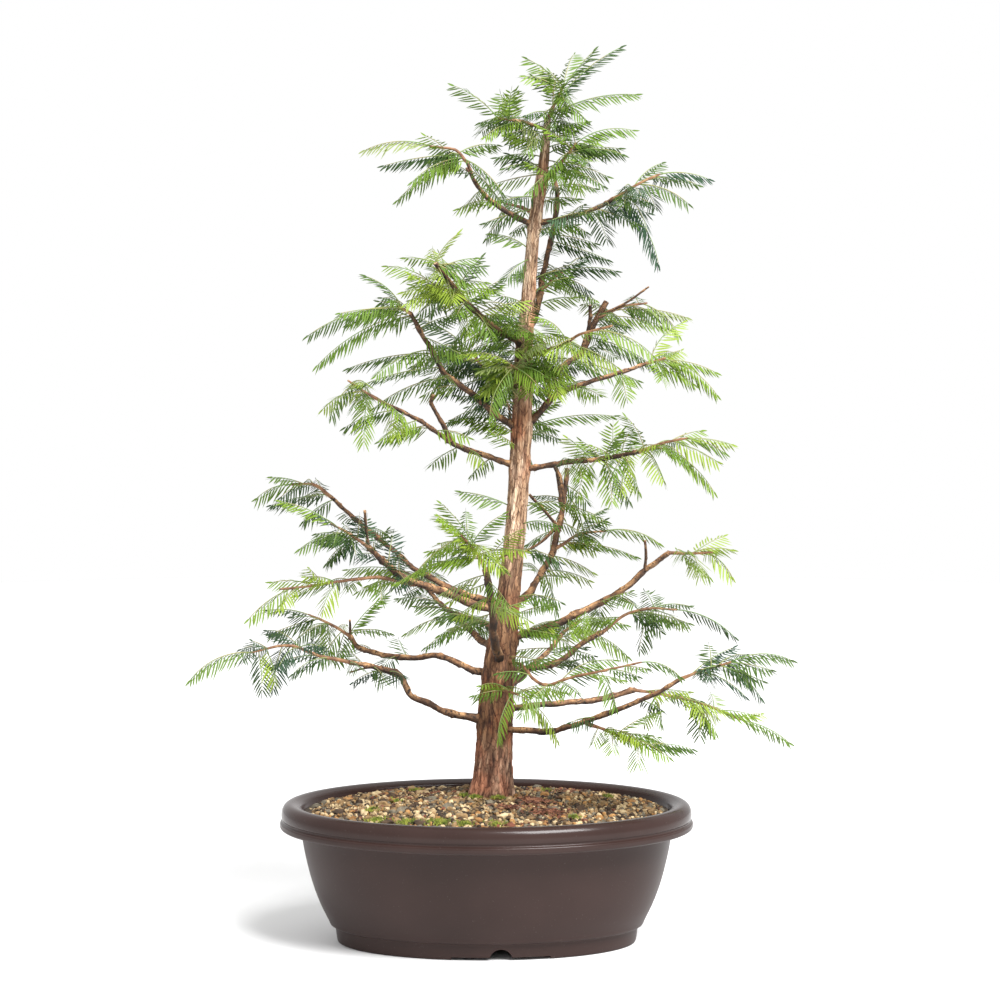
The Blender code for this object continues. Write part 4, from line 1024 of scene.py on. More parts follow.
def add_needle(shape, foot, out, ahead, length, rng):
    """One flat needle, folded a little along its middle and curled forward and down."""
    flat = (ahead - out * ahead.dot(out)).normalized()
    fold = out.cross(flat)
    if fold.z > 0:
        fold = -fold
    curl = ahead * rng.uniform(*CURL_AHEAD) - UP * rng.uniform(*CURL_DOWN)
    vertices = [foot]
    for share, width in NEEDLE_STATIONS:
        middle = foot + (out * share + curl * share * share) * length
        half = NEEDLE_HALF_WIDTH * MM * width
        vertices += [middle - flat * half, middle + fold * half * NEEDLE_FOLD, middle + flat * half]
    vertices.append(foot + (out + curl) * length)
    shape.add(vertices, NEEDLE_FACES)


def add_needles(shape, points, size, roll, rng):
    """Two rows of needles along a shoot, hanging below its plane by the row's sag."""
    pairs = max(FEWEST_NEEDLES, round(size / MM * (SHOOT_END - SHOOT_BARE) / NEEDLE_PITCH))
    sag = rng.uniform(*ROW_SAG)
    for k in range(pairs):
        leafy = (k + 0.5) / pairs
        centre, ahead = rib_at(points, blend(SHOOT_BARE, SHOOT_END, leafy))
        side, top = leaned(ahead, roll)
        longest = needle_length(leafy) / NEEDLE * NEEDLE_TRUE * MM
        for flank in (-1, 1):
            stray = rng.uniform(-NEEDLE_STRAY, NEEDLE_STRAY)
            forward = math.radians(blend(*FORWARD, leafy ** 3) + stray)
            stray = rng.uniform(-NEEDLE_STRAY, NEEDLE_STRAY)
            low = math.radians(sag + stray * ROW_STRAY)
            across = side * flank * math.cos(low) - top * math.sin(low)
            out = (ahead * math.cos(forward) + across * math.sin(forward)).normalized()
            add_needle(shape, centre, out, ahead, longest * rng.uniform(*NEEDLE_SIZES), rng)
    tip, ahead = rib_at(points, SHOOT_END)
    add_needle(shape, tip, ahead, UP, needle_length(1) / NEEDLE * NEEDLE_TRUE * MM, rng)


def add_shoot(shape, points):
    """The thin shoot that carries a spray's needles."""
    rings = []
    for k in range(ARCH_STEPS + 1):
        share = k / ARCH_STEPS
        point, ahead = rib_at(points, share * SHOOT_END)
        side = UP.cross(ahead).normalized()
        rings.append(circle(point, ahead, side, blend(*SHOOT_RADIUS, share) * MM, SHOOT_SIDES))
    shape.add(*stack(rings))


def make_foliage(sprays):
    """Needles joined by tone, and all the shoots."""
    needles = {tone: Shape() for tone in TONES}
    grown_on = {tone: set() for tone in TONES}
    shoots = Shape()
    for number, (mass, colour, points, size, roll) in enumerate(sprays):
        rng = random.Random(number)
        tone = pick(rng, TONE_SHARES[colour])
        grown_on[tone].add(mass)
        add_needles(needles[tone], points, size, roll, rng)
        add_shoot(shoots, points)
    for tone, (slot, colour) in TONES.items():
        finish = needle_finish("needle_" + tone, colour)
        piece("needles_" + tone, needles[tone], finish, sorted(grown_on[tone]))
    piece("shoots", shoots, shoot_finish())


# ---- bark


def smooth_route(points, radii, step):
    """A rounded route through the points, with its radii, in steps of about this length."""
    ends = [points[0] * 2 - points[1]] + list(points) + [points[-1] * 2 - points[-2]]
    sizes = [radii[0]] + list(radii) + [radii[-1]]
    route = [points[0]]
    widths = [radii[0]]
    for k in range(1, len(points)):
        a, b, c, d = ends[k - 1:k + 3]
        count = max(1, round((c - b).length / step))
        for j in range(1, count + 1):
            t = j / count
            route.append(
                b * (2 * t ** 3 - 3 * t ** 2 + 1) + (c - a) / 2 * (t ** 3 - 2 * t ** 2 + t)
                + c * (3 * t ** 2 - 2 * t ** 3) + (d - b) / 2 * (t ** 3 - t ** 2)
            )
            widths.append(blend(sizes[k], sizes[k + 1], t))
    return route, widths


def draw_knots(length, radius, rng):
    """Small swellings where shoots were shed: (distance, turn, height, reach)."""
    knots = []
    for _ in range(round(length / MM / KNOT_PITCH)):
        knots.append((
            rng.uniform(0.04, 0.98) * length, rng.uniform(0, 2 * math.pi),
            rng.uniform(*KNOT_HEIGHT) * radius, rng.uniform(*KNOT_REACH) * MM,
        ))
    return knots


def knot_rise(knots, distance, turn, radius):
    """How far knots lift the bark at a place on a limb."""
    rise = 0
    for middle, spot, height, reach in knots:
        gap = abs(middle - distance)
        if gap < KNOT_FADE * reach:
            spread = (gap * gap + (turn_between(turn, spot) * radius) ** 2) / (reach * reach)
            rise += height * math.exp(-spread)
    return rise


def add_limb(shape, points, radii, sides, flare, rng, blunt=False):
    """A barky limb through the points, swollen at its foot by `flare`, with knots.

    Returns its end, its direction there and its radius there.
    """
    route, widths = smooth_route(points, radii, LIMB_RING_STEP * MM)
    lengths = [0, *itertools.accumulate(steps_of(route))]
    knots = draw_knots(lengths[-1], radii[-1], rng)
    grain = Vector((rng.uniform(0, 99), rng.uniform(0, 99), 0))
    side = (route[1] - route[0]).orthogonal()
    vertices = []
    reliefs = []
    for k, (centre, radius, length) in enumerate(zip(route, widths, lengths)):
        ahead = (route[min(k + 1, len(route) - 1)] - route[max(k - 1, 0)]).normalized()
        side = (side - ahead * side.dot(ahead)).normalized()
        across = ahead.cross(side)
        still = min(1, length / (LIMB_STILL[0] * radius), (lengths[-1] - length) / (LIMB_STILL[1] * radius))
        wave = grain + UP * (length / MM / LIMB_WAVE)
        centre = centre + noise.noise_vector(wave) * radius * LIMB_BEND * still
        swell = 1 + flare * math.exp(-length / (FLARE_LENGTH * radius))
        swell += LIMB_SWELL * noise.noise(wave * 1.7) * still
        for turn in turns(sides):
            way = side * math.cos(turn) + across * math.sin(turn)
            around = (math.cos(turn) * LIMB_STRIPS[0], math.sin(turn) * LIMB_STRIPS[0])
            strip = Vector((*around, length / MM / LIMB_STRIPS[1])) + grain
            relief = noise.noise(strip) + 0.6 * noise.noise(strip * 2.6)
            rise = knot_rise(knots, length, turn, radius)
            vertices.append(centre + way * (radius * swell * (1 + LIMB_RELIEF * relief) + rise))
            reliefs.append(relief + rise / (KNOT_RELIEF * MM))
    tip = len(vertices)
    end = tip - sides
    vertices.append(route[-1] + ahead * radius * (BLUNT_RISE if blunt else TIP_RISE))
    vertices.append(route[0])
    faces = bridge(sides, len(route))
    faces += [(end + j, end + (j + 1) % sides, tip) for j in range(sides)]
    faces += [((j + 1) % sides, j, tip + 1) for j in range(sides)]
    shape.add(vertices, faces, reliefs + [0, 0])
    return route[-1], ahead, radius


def add_cut_face(shape, end, ahead, radius):
    """The pale, slightly domed wood of a sawn end."""
    side = ahead.orthogonal().normalized()
    rings = []
    for share, rise in CUT_STATIONS:
        rings.append(circle(end + ahead * radius * rise, ahead, side, radius * share, LIMB_SIDES))
    shape.add(*stack(rings))


def rooted(limbs, parent, place, points, radii):
    """A limb's route begun inside its parent and below its foot, so that it grows out of it."""
    if parent == "trunk":
        centre, _ = trunk_at(place)
    else:
        centre, _ = along_limb(limbs[parent][0], place)
    ahead = (points[1] - points[0]).normalized()
    inside = points[0].lerp(centre, FOOT_INSIDE) - ahead * radii[0] * FOOT_DEPTH
    return [inside] + points, [radii[0]] + radii


def make_boughs(limbs):
    """The boughs and their pruned spurs in one piece, and the cut faces in another."""
    boughs = Shape()
    cuts = Shape()
    for number, (name, parent, place, *_) in enumerate(BOUGHS):
        points, radii = limbs[name]
        radii = [radii[1] * BOUGH_FOOT] + radii[1:]
        route = rooted(limbs, parent, place, points, radii)
        blunt = name in BLUNT
        end = add_limb(boughs, *route, LIMB_SIDES, FLARE, random.Random(number), blunt)
        if blunt:
            add_cut_face(cuts, *end)
    for number, (parent, place, radius, tip_radius, legs) in enumerate(SPURS):
        points, _ = limb_route(limbs, parent, place, legs, radius * MM)
        radii = taper(points, radius * MM, tip_radius * MM)
        route = rooted(limbs, parent, place, points, radii)
        rng = random.Random(SPUR_SEED + number)
        add_cut_face(cuts, *add_limb(boughs, *route, LIMB_SIDES, FLARE, rng, True))
    piece("boughs", boughs, bough_finish(), [row[0] for row in BOUGHS])
    piece("cut_faces", cuts, cut_finish())


def make_twigs(limbs, stems):
    """The masses' stems. One at a limb's end carries the limb on."""
    twigs = Shape()
    for number, (name, parent, place, *_) in enumerate(MASSES):
        points, radii, _ = stems[name]
        rng = random.Random(TWIG_SEED + number)
        if place == 1:
            start = points[0] - (points[1] - points[0]).normalized() * MM
            radii = [limbs[parent][1][-1]] + radii[1:]
            add_limb(twigs, [start] + points, [radii[0]] + radii, TWIG_SIDES, 0, rng)
        else:
            route = rooted(limbs, parent, place, points, radii)
            add_limb(twigs, *route, TWIG_SIDES, TWIG_FLARE, rng)
    piece("twigs", twigs, twig_finish(), [row[0] for row in MASSES])


def bark_relief(turn, height):
    """The bark's relief at a place on the trunk, from about -1 in a furrow to 0.6 on a strip."""
    stray, length = BARK_WANDER
    wander = stray * noise.noise(Vector((height / length, math.cos(turn), math.sin(turn))))
    around = Vector((math.cos(turn + wander), math.sin(turn + wander), 0)) * STRIPS
    strip = around + UP * (height / STRIP_LENGTH)
    furrow = min(1, abs(noise.noise(strip)) / FURROW)
    cross = min(1, abs(noise.noise(strip * 1.9 + Vector((7, 3, 5)))) / (FURROW * 0.7))
    fibre = noise.noise(around * 4 + UP * (height / FIBRE_LENGTH))
    phase = 4 * noise.noise(around * 1.4 + UP * (height / FLAKE_STRAY))
    flake = 1 - (height / FLAKE_LENGTH + phase) % 1
    return furrow + 0.45 * cross + 0.35 * fibre + 0.4 * flake - 1.15


def collar_rise(feet, turn, height, radius):
    """How far the trunk swells at a place where boughs leave it, in millimetres."""
    rise = 0
    for place, azimuth, size in feet:
        up = (height - place) / (size * COLLAR_REACH[0])
        around = turn_between(turn, azimuth) * radius / MM / (size * COLLAR_REACH[1])
        if abs(up) < 3 and abs(around) < 3:
            rise += size * COLLAR_RISE * math.exp(-(up * up + around * around))
    return rise


def make_trunk():
    """The trunk with its furrowed bark, swollen where boughs leave it."""
    feet = []
    for _, parent, place, radius, _, legs in BOUGHS:
        if parent == "trunk":
            away = heading(*legs[0][1:])
            feet.append((place, math.atan2(away.y, away.x), radius))
    top = TRUNK[-1][0]
    count = round(top / TRUNK_RING_STEP)
    rings = []
    reliefs = []
    for k in range(count + 1):
        height = blend(-TRUNK_BELOW, top, k / count)
        centre, radius = trunk_at(height)
        centre.z = (TRUNK_FOOT + height) * MM
        depth = blend(*BARK_DEPTH, (max(height, 0) / top) ** 0.6)
        ring = []
        for turn in turns(TRUNK_RING_SIDES):
            wall = trunk_wall(max(height, 0), math.degrees(turn))
            wall.z = centre.z
            relief = bark_relief(turn, height)
            rise = relief * depth + collar_rise(feet, turn, height, radius)
            ring.append(wall + (wall - centre).normalized() * rise * MM)
            reliefs.append(relief)
        rings.append(ring)
    shape = Shape()
    shape.add(*stack(rings), reliefs)
    piece("trunk_bark", shape, trunk_finish(), ["trunk"])


# ---- pot


def oval(half_length, half_width, height, sides):
    """A level ring of points. Sizes are millimetres."""
    return [Vector((half_length * math.cos(turn), half_width * math.sin(turn), height)) * MM
            for turn in turns(sides)]


def rounded(stations, passes):
    """The outline with its corners cut again and again, its ends kept."""
    for _ in range(passes):
        cut = [stations[0]]
        for (x0, z0), (x1, z1) in zip(stations, stations[1:]):
            cut += [(blend(x0, x1, share), blend(z0, z1, share)) for share in (0.25, 0.75)]
        stations = cut + [stations[-1]]
    return stations


def rod(radius, start, end):
    """A cylinder between two points, in millimetres."""
    start = Vector(start) * MM
    end = Vector(end) * MM
    along = (end - start).normalized()
    side = along.orthogonal().normalized()
    return stack([circle(point, along, side, radius * MM, ROD_SIDES) for point in (start, end)])


def block(low, high):
    """A box between two corners, in millimetres."""
    pair = (low, high)
    rings = []
    for z in (low[2], high[2]):
        corners = ((0, 0), (1, 0), (1, 1), (0, 1))
        rings.append([Vector((pair[i][0], pair[j][1], z)) * MM for i, j in corners])
    return stack(rings)


def pot_cutters():
    """The drain notches and recesses through the foot ring, and the drain holes."""
    shapes = []
    for middle in (-NOTCH_Y, NOTCH_Y):
        front = middle - NOTCH_DEPTH
        back = middle + NOTCH_DEPTH
        shapes.append(rod(NOTCH_RADIUS, (NOTCH_X, front, 0), (NOTCH_X, back, 0)))
        low = (NOTCH_X - RECESS_HALF_LENGTH, front, -RECESS_HEIGHT)
        high = (NOTCH_X + RECESS_HALF_LENGTH, back, RECESS_HEIGHT)
        shapes.append(block(low, high))
    floor_top = POT_BOWL[-1][1]
    for x, y in DRAINS:
        shapes.append(rod(DRAIN_RADIUS, (x, y, PAD_TOP / 2), (x, y, floor_top + PAD_TOP / 2)))
    return [new_object("cutter", *shape) for shape in shapes]


def make_pot():
    """The moulded pot with a rolled rim, a bead under it and a stepped foot."""
    outline = [(PAD_HALF_LENGTH, 0), (PAD_HALF_LENGTH, PAD_TOP), (HOLLOW_HALF_LENGTH, PAD_TOP)]
    outline += rounded(POT_FOOT + POT_WALL, ROUNDING_PASSES) + list(POT_BOWL)
    shape = Shape()
    shape.add(*stack([oval(half, half - OVAL, height, POT_RING_SIDES) for half, height in outline]))
    pot = piece("pot_shell", shape, pot_finish(), ["pot"])
    helpers = pot_cutters()
    for tool in helpers:
        cut = pot.modifiers.new("cut", "BOOLEAN")
        cut.operation = "DIFFERENCE"
        cut.object = tool
    graph = bpy.context.evaluated_depsgraph_get()
    mesh = bpy.data.meshes.new_from_object(pot.evaluated_get(graph))
    pot.modifiers.clear()
    pot.data = mesh
    for tool in helpers:
        bpy.data.objects.remove(tool)
    mesh.shade_smooth()
    mesh.set_sharp_from_angle(angle=math.radians(SHARP_POT_EDGE))


# ---- grit


def grit_height(surface, x, y):
    """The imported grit's surface at a place, in millimetres."""
    hit = surface.ray_cast(Vector((x * MM, y * MM, 1)), -UP)[0]
    return hit.z / MM if hit else FILL_HEIGHT


def in_opening(x, y, margin):
    """Whether a place is inside the pot's opening by this margin, in millimetres."""
    wall = POT_OPENING * GRIT_REACH - margin
    return math.hypot(x / wall, y / (wall - OVAL)) < 1


def near_trunk(x, y, margin):
    """Whether a place is within this margin of the trunk's foot. All are millimetres."""
    return math.hypot(x - TRUNK[0][1], y - TRUNK_Y) < TRUNK[0][2] + margin


def draw_stones():
    """Where the source's larger stones lie, each (x, y, radius, turn)."""
    rng = random.Random(STONE_SEED)
    reach = POT_OPENING * STONE_REACH
    stones = []
    while len(stones) < STONES:
        x = rng.uniform(-reach, reach)
        y = rng.uniform(-reach, reach)
        if math.hypot(x / reach, y / (reach - OVAL)) > 1:
            continue
        if math.hypot(x - TRUNK[0][1], y - TRUNK_Y) < STONE_TO_TRUNK:
            continue
        if any(math.hypot(x - other[0], y - other[1]) < STONE_APART for other in stones):
            continue
        turn = rng.uniform(0, 360)
        radius = rng.uniform(*STONE_RADIUS)
        rng.uniform(*STONE_RISE)
        stones.append((x, y, radius, turn))
    return stones


def grain_shape(rng, roundness):
    """A broken stone of unit radius: a ball with cut faces and a rough skin."""
    ball = bmesh.new()
    bmesh.ops.create_icosphere(ball, subdivisions=roundness, radius=1)
    cuts = [(Vector([rng.gauss(0, 1) for _ in range(3)]).normalized(), rng.uniform(*GRAIN_CUT_DEPTH))
            for _ in range(GRAIN_CUTS)]
    place = Vector([rng.uniform(0, 50) for _ in range(3)])
    vertices = []
    for vertex in ball.verts:
        point = vertex.co.copy()
        for way, limit in cuts:
            over = point.dot(way) - limit
            if over > 0:
                point -= way * over * 0.9
        vertices.append(point * (1 + GRAIN_ROUGHNESS * noise.noise(point * 1.6 + place)))
    ball.verts.index_update()
    faces = [tuple(vertex.index for vertex in face.verts) for face in ball.faces]
    ball.free()
    return vertices, faces


def grain_size(rng, radius):
    """A stone's half sizes, in millimetres."""
    flat = rng.uniform(*GRAIN_FLATNESS)
    return Vector((rng.uniform(*GRAIN_LENGTH), rng.uniform(*GRAIN_WIDTH), flat)) * radius


def lay_grain(kind, turn, size, x, y, top):
    """A stone's vertices and faces, turned and set down with its top at this height."""
    vertices, faces = kind
    placed = [turn @ (point * size) * MM for point in vertices]
    centre = Vector((x * MM, y * MM, top * MM - max(point.z for point in placed)))
    return [centre + point for point in placed], faces


def make_grains():
    """Stones of several tones over the grit: two layers of grains, and the larger ones."""
    rng = random.Random(GRAIN_SEED)
    tones = {tone: Shape() for tone in GRAIN_TONES}
    shares = [(tone, row[0]) for tone, row in GRAIN_TONES.items()]
    surface = node_tree("grit")
    stones = draw_stones()
    for pitch, radius, rise, roundness in GRAIN_LAYERS:
        kinds = [grain_shape(rng, roundness) for _ in range(GRAIN_SHAPES)]
        rows = int(2 * POT_OPENING / pitch) + 1
        for row, column in itertools.product(range(rows), repeat=2):
            x = (column + 0.5 * (row % 2) - rows / 2) * pitch + rng.uniform(-0.5, 0.5) * pitch
            y = (row - rows / 2) * pitch * GRAIN_ROW + rng.uniform(-0.5, 0.5) * pitch
            size = rng.uniform(*radius)
            if not in_opening(x, y, size) or near_trunk(x, y, size * 0.2):
                continue
            if any(math.hypot(x - stone[0], y - stone[1]) < stone[2] * 0.8 for stone in stones):
                continue
            top = grit_height(surface, x, y) + rng.uniform(*rise)
            kind = rng.choice(kinds)
            turn = Euler([rng.uniform(0, 2 * math.pi) for _ in range(3)]).to_matrix()
            laid = lay_grain(kind, turn, grain_size(rng, size), x, y, top)
            tones[pick(rng, shares)].add(*laid)
    for x, y, radius, turn in stones:
        kind = grain_shape(rng, STONE_ROUNDNESS)
        turned = Euler((0, 0, math.radians(turn))).to_matrix()
        top = grit_height(surface, x, y) + STONE_LOOK_TOP
        shape = tones[pick(rng, shares)]
        shape.add(*lay_grain(kind, turned, grain_size(rng, radius), x, y, top))
    for tone, shape in tones.items():
        made = piece("grains_" + tone, shape, grain_finish(tone))
        made.data.set_sharp_from_angle(angle=math.radians(SHARP_GRAIN_EDGE))


def spot_near(rng, x, y, reach):
    """A place drawn about a spot, most often near its middle."""
    while True:
        away = abs(rng.gauss(0, reach / 2))
        turn = rng.uniform(0, 2 * math.pi)
        place = (x + away * math.cos(turn), y + away * math.sin(turn))
        if in_opening(*place, 1) and not near_trunk(*place, 0.5):
            return place


def make_moss():
    """Patches of short green tufts on the grit, most of them at the trunk's foot."""
    rng = random.Random(MOSS_SEED)
    surface = node_tree("grit")
    shape = Shape()
    for x, y, reach, tufts in MOSS:
        for _ in range(tufts):
            place = spot_near(rng, x, y, reach)
            base = Vector((*place, grit_height(surface, *place) - 0.5)) * MM
            for _ in range(TUFT_BLADES):
                lean = heading(rng.uniform(0, 360), rng.uniform(35, 85))
                out = lean.orthogonal().normalized() * rng.uniform(*TUFT_HALF_WIDTH) * MM
                tip = base + lean * rng.uniform(*TUFT_HEIGHT) * MM
                shape.add([base - out, base + out, base + lean.cross(out), tip], TUFT_FACES)
    piece("moss", shape, moss_finish(), smooth=False)


def make_litter():
    """Flakes of shed bark, and dropped needles, lying on the grit."""
    rng = random.Random(LITTER_SEED)
    surface = node_tree("grit")
    flakes = Shape()
    for x, y, reach, count in LITTER_SPOTS:
        for _ in range(count):
            place = spot_near(rng, x, y, reach)
            centre = Vector((*place, grit_height(surface, *place) + rng.uniform(0.4, 1.3))) * MM
            ahead = heading(rng.uniform(0, 360), rng.uniform(-20, 20))
            across = ahead.cross(UP).normalized() + UP * rng.uniform(-0.4, 0.4)
            half = ahead * rng.uniform(*LITTER_LENGTH) / 2 * MM
            side = across * rng.uniform(*LITTER_HALF_WIDTH) * MM
            up = UP * LITTER_HALF_DEPTH * MM
            rings = []
            for share, wide in LITTER_OUTLINE:
                edge = side * wide
                corners = (edge + up, up - edge, -edge - up, edge - up)
                rings.append([centre + half * share + corner for corner in corners])
            flakes.add(*stack(rings))
    piece("bark_litter", flakes, litter_finish(), smooth=False)
    needles = Shape()
    for _ in range(DROPPED_NEEDLES):
        place = spot_near(rng, 0, 0, DROPPED_REACH)
        foot = Vector((*place, grit_height(surface, *place) + 1.2)) * MM
        out = heading(rng.uniform(0, 360), rng.uniform(-8, 12))
        ahead = out.cross(UP).normalized() * rng.choice((-1, 1))
        add_needle(needles, foot, out, ahead, rng.uniform(*DROPPED_LENGTH) * MM, rng)
    finish = needle_finish("needle_brown", DROPPED_COLOUR)
    piece("dropped_needles", needles, finish)


def make_soil():
    """The dark fine soil seen between the grains."""
    surface = node_tree("grit")
    wall = POT_OPENING - GRIT_CLEAR
    height, width = SOIL_CLOD
    vertices = []
    for k in range(SOIL_RINGS):
        share = 1 - k / SOIL_RINGS
        for point in oval(wall * share, (wall - OVAL) * share, 0, SOIL_SIDES):
            clod = height * noise.noise(point / (width * MM))
            point.z = (grit_height(surface, point.x / MM, point.y / MM) - SOIL_DEPTH + clod) * MM
            vertices.append(point)
    shape = Shape()
    middle = tuple(range(len(vertices) - SOIL_SIDES, len(vertices)))
    shape.add(vertices, bridge(SOIL_SIDES, SOIL_RINGS) + [middle])
    piece("soil", shape, soil_finish(), ["grit"])


# ---- finishes


def fill(tree, socket, value):
    """Gives a socket its value: another socket to link, a colour or a number."""
    if isinstance(value, bpy.types.NodeSocket):
        tree.links.new(value, socket)
    else:
        socket.default_value = (*value, 1) if socket.type == "RGBA" else value


def node(tree, kind, inputs):
    """A shader node with its inputs filled."""
    made = tree.nodes.new("ShaderNode" + kind)
    for name, value in inputs.items():
        fill(tree, made.inputs[name], value)
    return made


def finish(name, colour, roughness):
    """A new material: its nodes, its shader and itself."""
    made = bpy.data.materials.new(name)
    made.use_nodes = True
    shader = made.node_tree.nodes["Principled BSDF"]
    shader.inputs["Base Color"].default_value = (*colour, 1)
    shader.inputs["Roughness"].default_value = roughness
    made.diffuse_color = (*colour, 1)
    return made, made.node_tree, shader


def own_place(tree, output="Object"):
    """The object's own coordinates, or another output of the coordinate node."""
    return node(tree, "TexCoord", {}).outputs[output]


def noise_node(tree, scale, detail, stretch=(1, 1, 1)):
    """A noise over the object's own coordinates, stretched along its axes."""
    mapping = node(tree, "Mapping", {"Vector": own_place(tree), "Scale": stretch})
    inputs = {"Vector": mapping.outputs["Vector"], "Scale": scale, "Detail": detail}
    return node(tree, "TexNoise", inputs).outputs["Fac"]


def plate_nodes(tree, scale, stretch, wander):
    """Long plates with thin cracks between: (nearness to a crack, a share for each plate)."""
    place = own_place(tree)
    bend = node(tree, "TexNoise", {"Vector": place, "Scale": scale * 0.4})
    bent = tree.nodes.new("ShaderNodeVectorMath")
    bent.operation = "MULTIPLY_ADD"
    for k, value in enumerate((bend.outputs["Color"], (wander, wander, wander), place)):
        fill(tree, bent.inputs[k], value)
    mapping = node(tree, "Mapping", {"Vector": bent.outputs["Vector"], "Scale": stretch})
    cells = {}
    for feature in ("DISTANCE_TO_EDGE", "F1"):
        cells[feature] = node(tree, "TexVoronoi", {"Scale": scale})
        cells[feature].feature = feature
        tree.links.new(mapping.outputs["Vector"], cells[feature].inputs["Vector"])
    split = node(tree, "SeparateColor", {"Color": cells["F1"].outputs["Color"]})
    return cells["DISTANCE_TO_EDGE"].outputs["Distance"], split.outputs["Red"]


def ramp_node(tree, value, stops):
    """A colour ramp over a value, from stops (place, colour or grey)."""
    made = node(tree, "ValToRGB", {"Fac": value})
    ramp = made.color_ramp
    while len(ramp.elements) < len(stops):
        ramp.elements.new(0.5)
    for element, (place, colour) in zip(ramp.elements, stops):
        element.position = place
        element.color = (*colour, 1) if isinstance(colour, tuple) else (colour, colour, colour, 1)
    return made.outputs["Color"]


def mix_node(tree, share, first, second, kind="MIX"):
    """Two colours mixed by a share, each a socket or a plain value."""
    made = tree.nodes.new("ShaderNodeMix")
    made.data_type = "RGBA"
    made.blend_type = kind
    for socket, value in zip((made.inputs["Factor"], made.inputs[6], made.inputs[7]), (share, first, second)):
        fill(tree, socket, value)
    return made.outputs[2]


def multiply(tree, first, *others):
    """A colour multiplied by the others."""
    for other in others:
        first = mix_node(tree, 1.0, first, other, "MULTIPLY")
    return first


def bump_node(tree, shader, height, strength, distance):
    """Bump on the shader from a height."""
    made = node(tree, "Bump", {"Height": height, "Strength": strength, "Distance": distance})
    tree.links.new(made.outputs["Normal"], shader.inputs["Normal"])


def rise_node(tree, value, low, high):
    """A share that rises from 0 to 1 as the value goes from low to high."""
    return node(tree, "MapRange", {"Value": value, "From Min": low, "From Max": high}).outputs["Result"]


def height_share(tree, low, high):
    """A share that rises from 0 to 1 between two heights in the object, in metres."""
    split = node(tree, "SeparateXYZ", {"Vector": own_place(tree)})
    return rise_node(tree, split.outputs["Z"], low, high)


def top_share(tree, low, high):
    """A share that rises from 0 to 1 as the surface turns from facing down to facing up."""
    split = node(tree, "SeparateXYZ", {"Vector": own_place(tree, "Normal")})
    return rise_node(tree, split.outputs["Z"], low, high)


def relief_share(tree, low, high):
    """A share that rises from 0 to 1 as the relief that the bark's mesh carries does."""
    relief = tree.nodes.new("ShaderNodeAttribute")
    relief.attribute_name = "relief"
    return rise_node(tree, relief.outputs["Fac"], low, high)


def mottled(name, colour, roughness, scale, detail, stops, bump=None):
    """A material whose colour follows a noise, and its bump too where it has one."""
    made, tree, shader = finish(name, colour, roughness)
    patches = noise_node(tree, scale, detail)
    fill(tree, shader.inputs["Base Color"], ramp_node(tree, patches, stops))
    if bump:
        bump_node(tree, shader, patches, *bump)
    return made


def trunk_finish():
    """Stringy bark in cracked plates: red-brown low down, tan above, dark in the furrows, with a band of
    painted shade among the lower boughs.
    """
    made, tree, shader = finish("trunk_bark", (0.3, 0.17, 0.1), 0.85)
    streaks = noise_node(tree, 150, 5, (1, 1, 0.2))
    fibres = noise_node(tree, 520, 3, (1, 1, 0.12))
    patches = noise_node(tree, 42, 3, (1, 1, 0.55))
    crack, plate = plate_nodes(tree, 300, (1, 1, 0.24), 0.006)
    low = ramp_node(tree, streaks, (
        (0.3, (0.12, 0.066, 0.042)), (0.46, (0.25, 0.145, 0.09)), (0.57, (0.34, 0.215, 0.14)),
        (0.7, (0.5, 0.35, 0.24)),
    ))
    high = ramp_node(tree, streaks, (
        (0.3, (0.17, 0.09, 0.05)), (0.46, (0.38, 0.245, 0.148)), (0.66, (0.70, 0.54, 0.40)),
    ))
    red = mix_node(tree, ramp_node(tree, patches, ((0.5, 0), (0.62, 0.8))), low, (0.40, 0.165, 0.09))
    warm = mix_node(tree, ramp_node(tree, patches, ((0.56, 0), (0.68, 0.7))), high, (0.46, 0.22, 0.115))
    peeled = mix_node(tree, ramp_node(tree, patches, ((0.4, 0), (0.55, 0.9))), high, (0.28, 0.105, 0.045))
    bark = mix_node(tree, height_share(tree, 0.28, 0.38), red, high)
    bark = mix_node(tree, height_share(tree, 0.44, 0.465), bark, peeled)
    bark = mix_node(tree, height_share(tree, 0.50, 0.54), bark, warm)
    thread = ramp_node(tree, fibres, ((0.36, (0.68, 0.66, 0.64)), (0.62, 1.12)))
    plates = ramp_node(tree, plate, ((0.1, (0.74, 0.70, 0.68)), (0.5, (0.95, 0.93, 0.92)), (0.9, 1.2)))
    cracks = ramp_node(tree, crack, ((0.0, (0.34, 0.26, 0.22)), (0.07, (0.86, 0.83, 0.82)), (0.16, 1)))
    shade = mix_node(tree, relief_share(tree, -0.75, 0.3), (0.28, 0.19, 0.15), (1.12, 1.12, 1.12))
    # Painted shade: a darker band low on the trunk among the lower boughs, where the foliage casts its
    # shadow.
    painted_shade_band = mix_node(tree, height_share(tree, 0.17, 0.2), (1, 1, 1), (0.58, 0.46, 0.33))
    painted_shade_band = mix_node(tree, height_share(tree, 0.32, 0.39), painted_shade_band, (1, 1, 1))
    fill(tree, shader.inputs["Base Color"], multiply(tree, bark, thread, plates, cracks, shade, painted_shade_band))
    bump_node(tree, shader, fibres, 0.5, 0.0012)
    return made


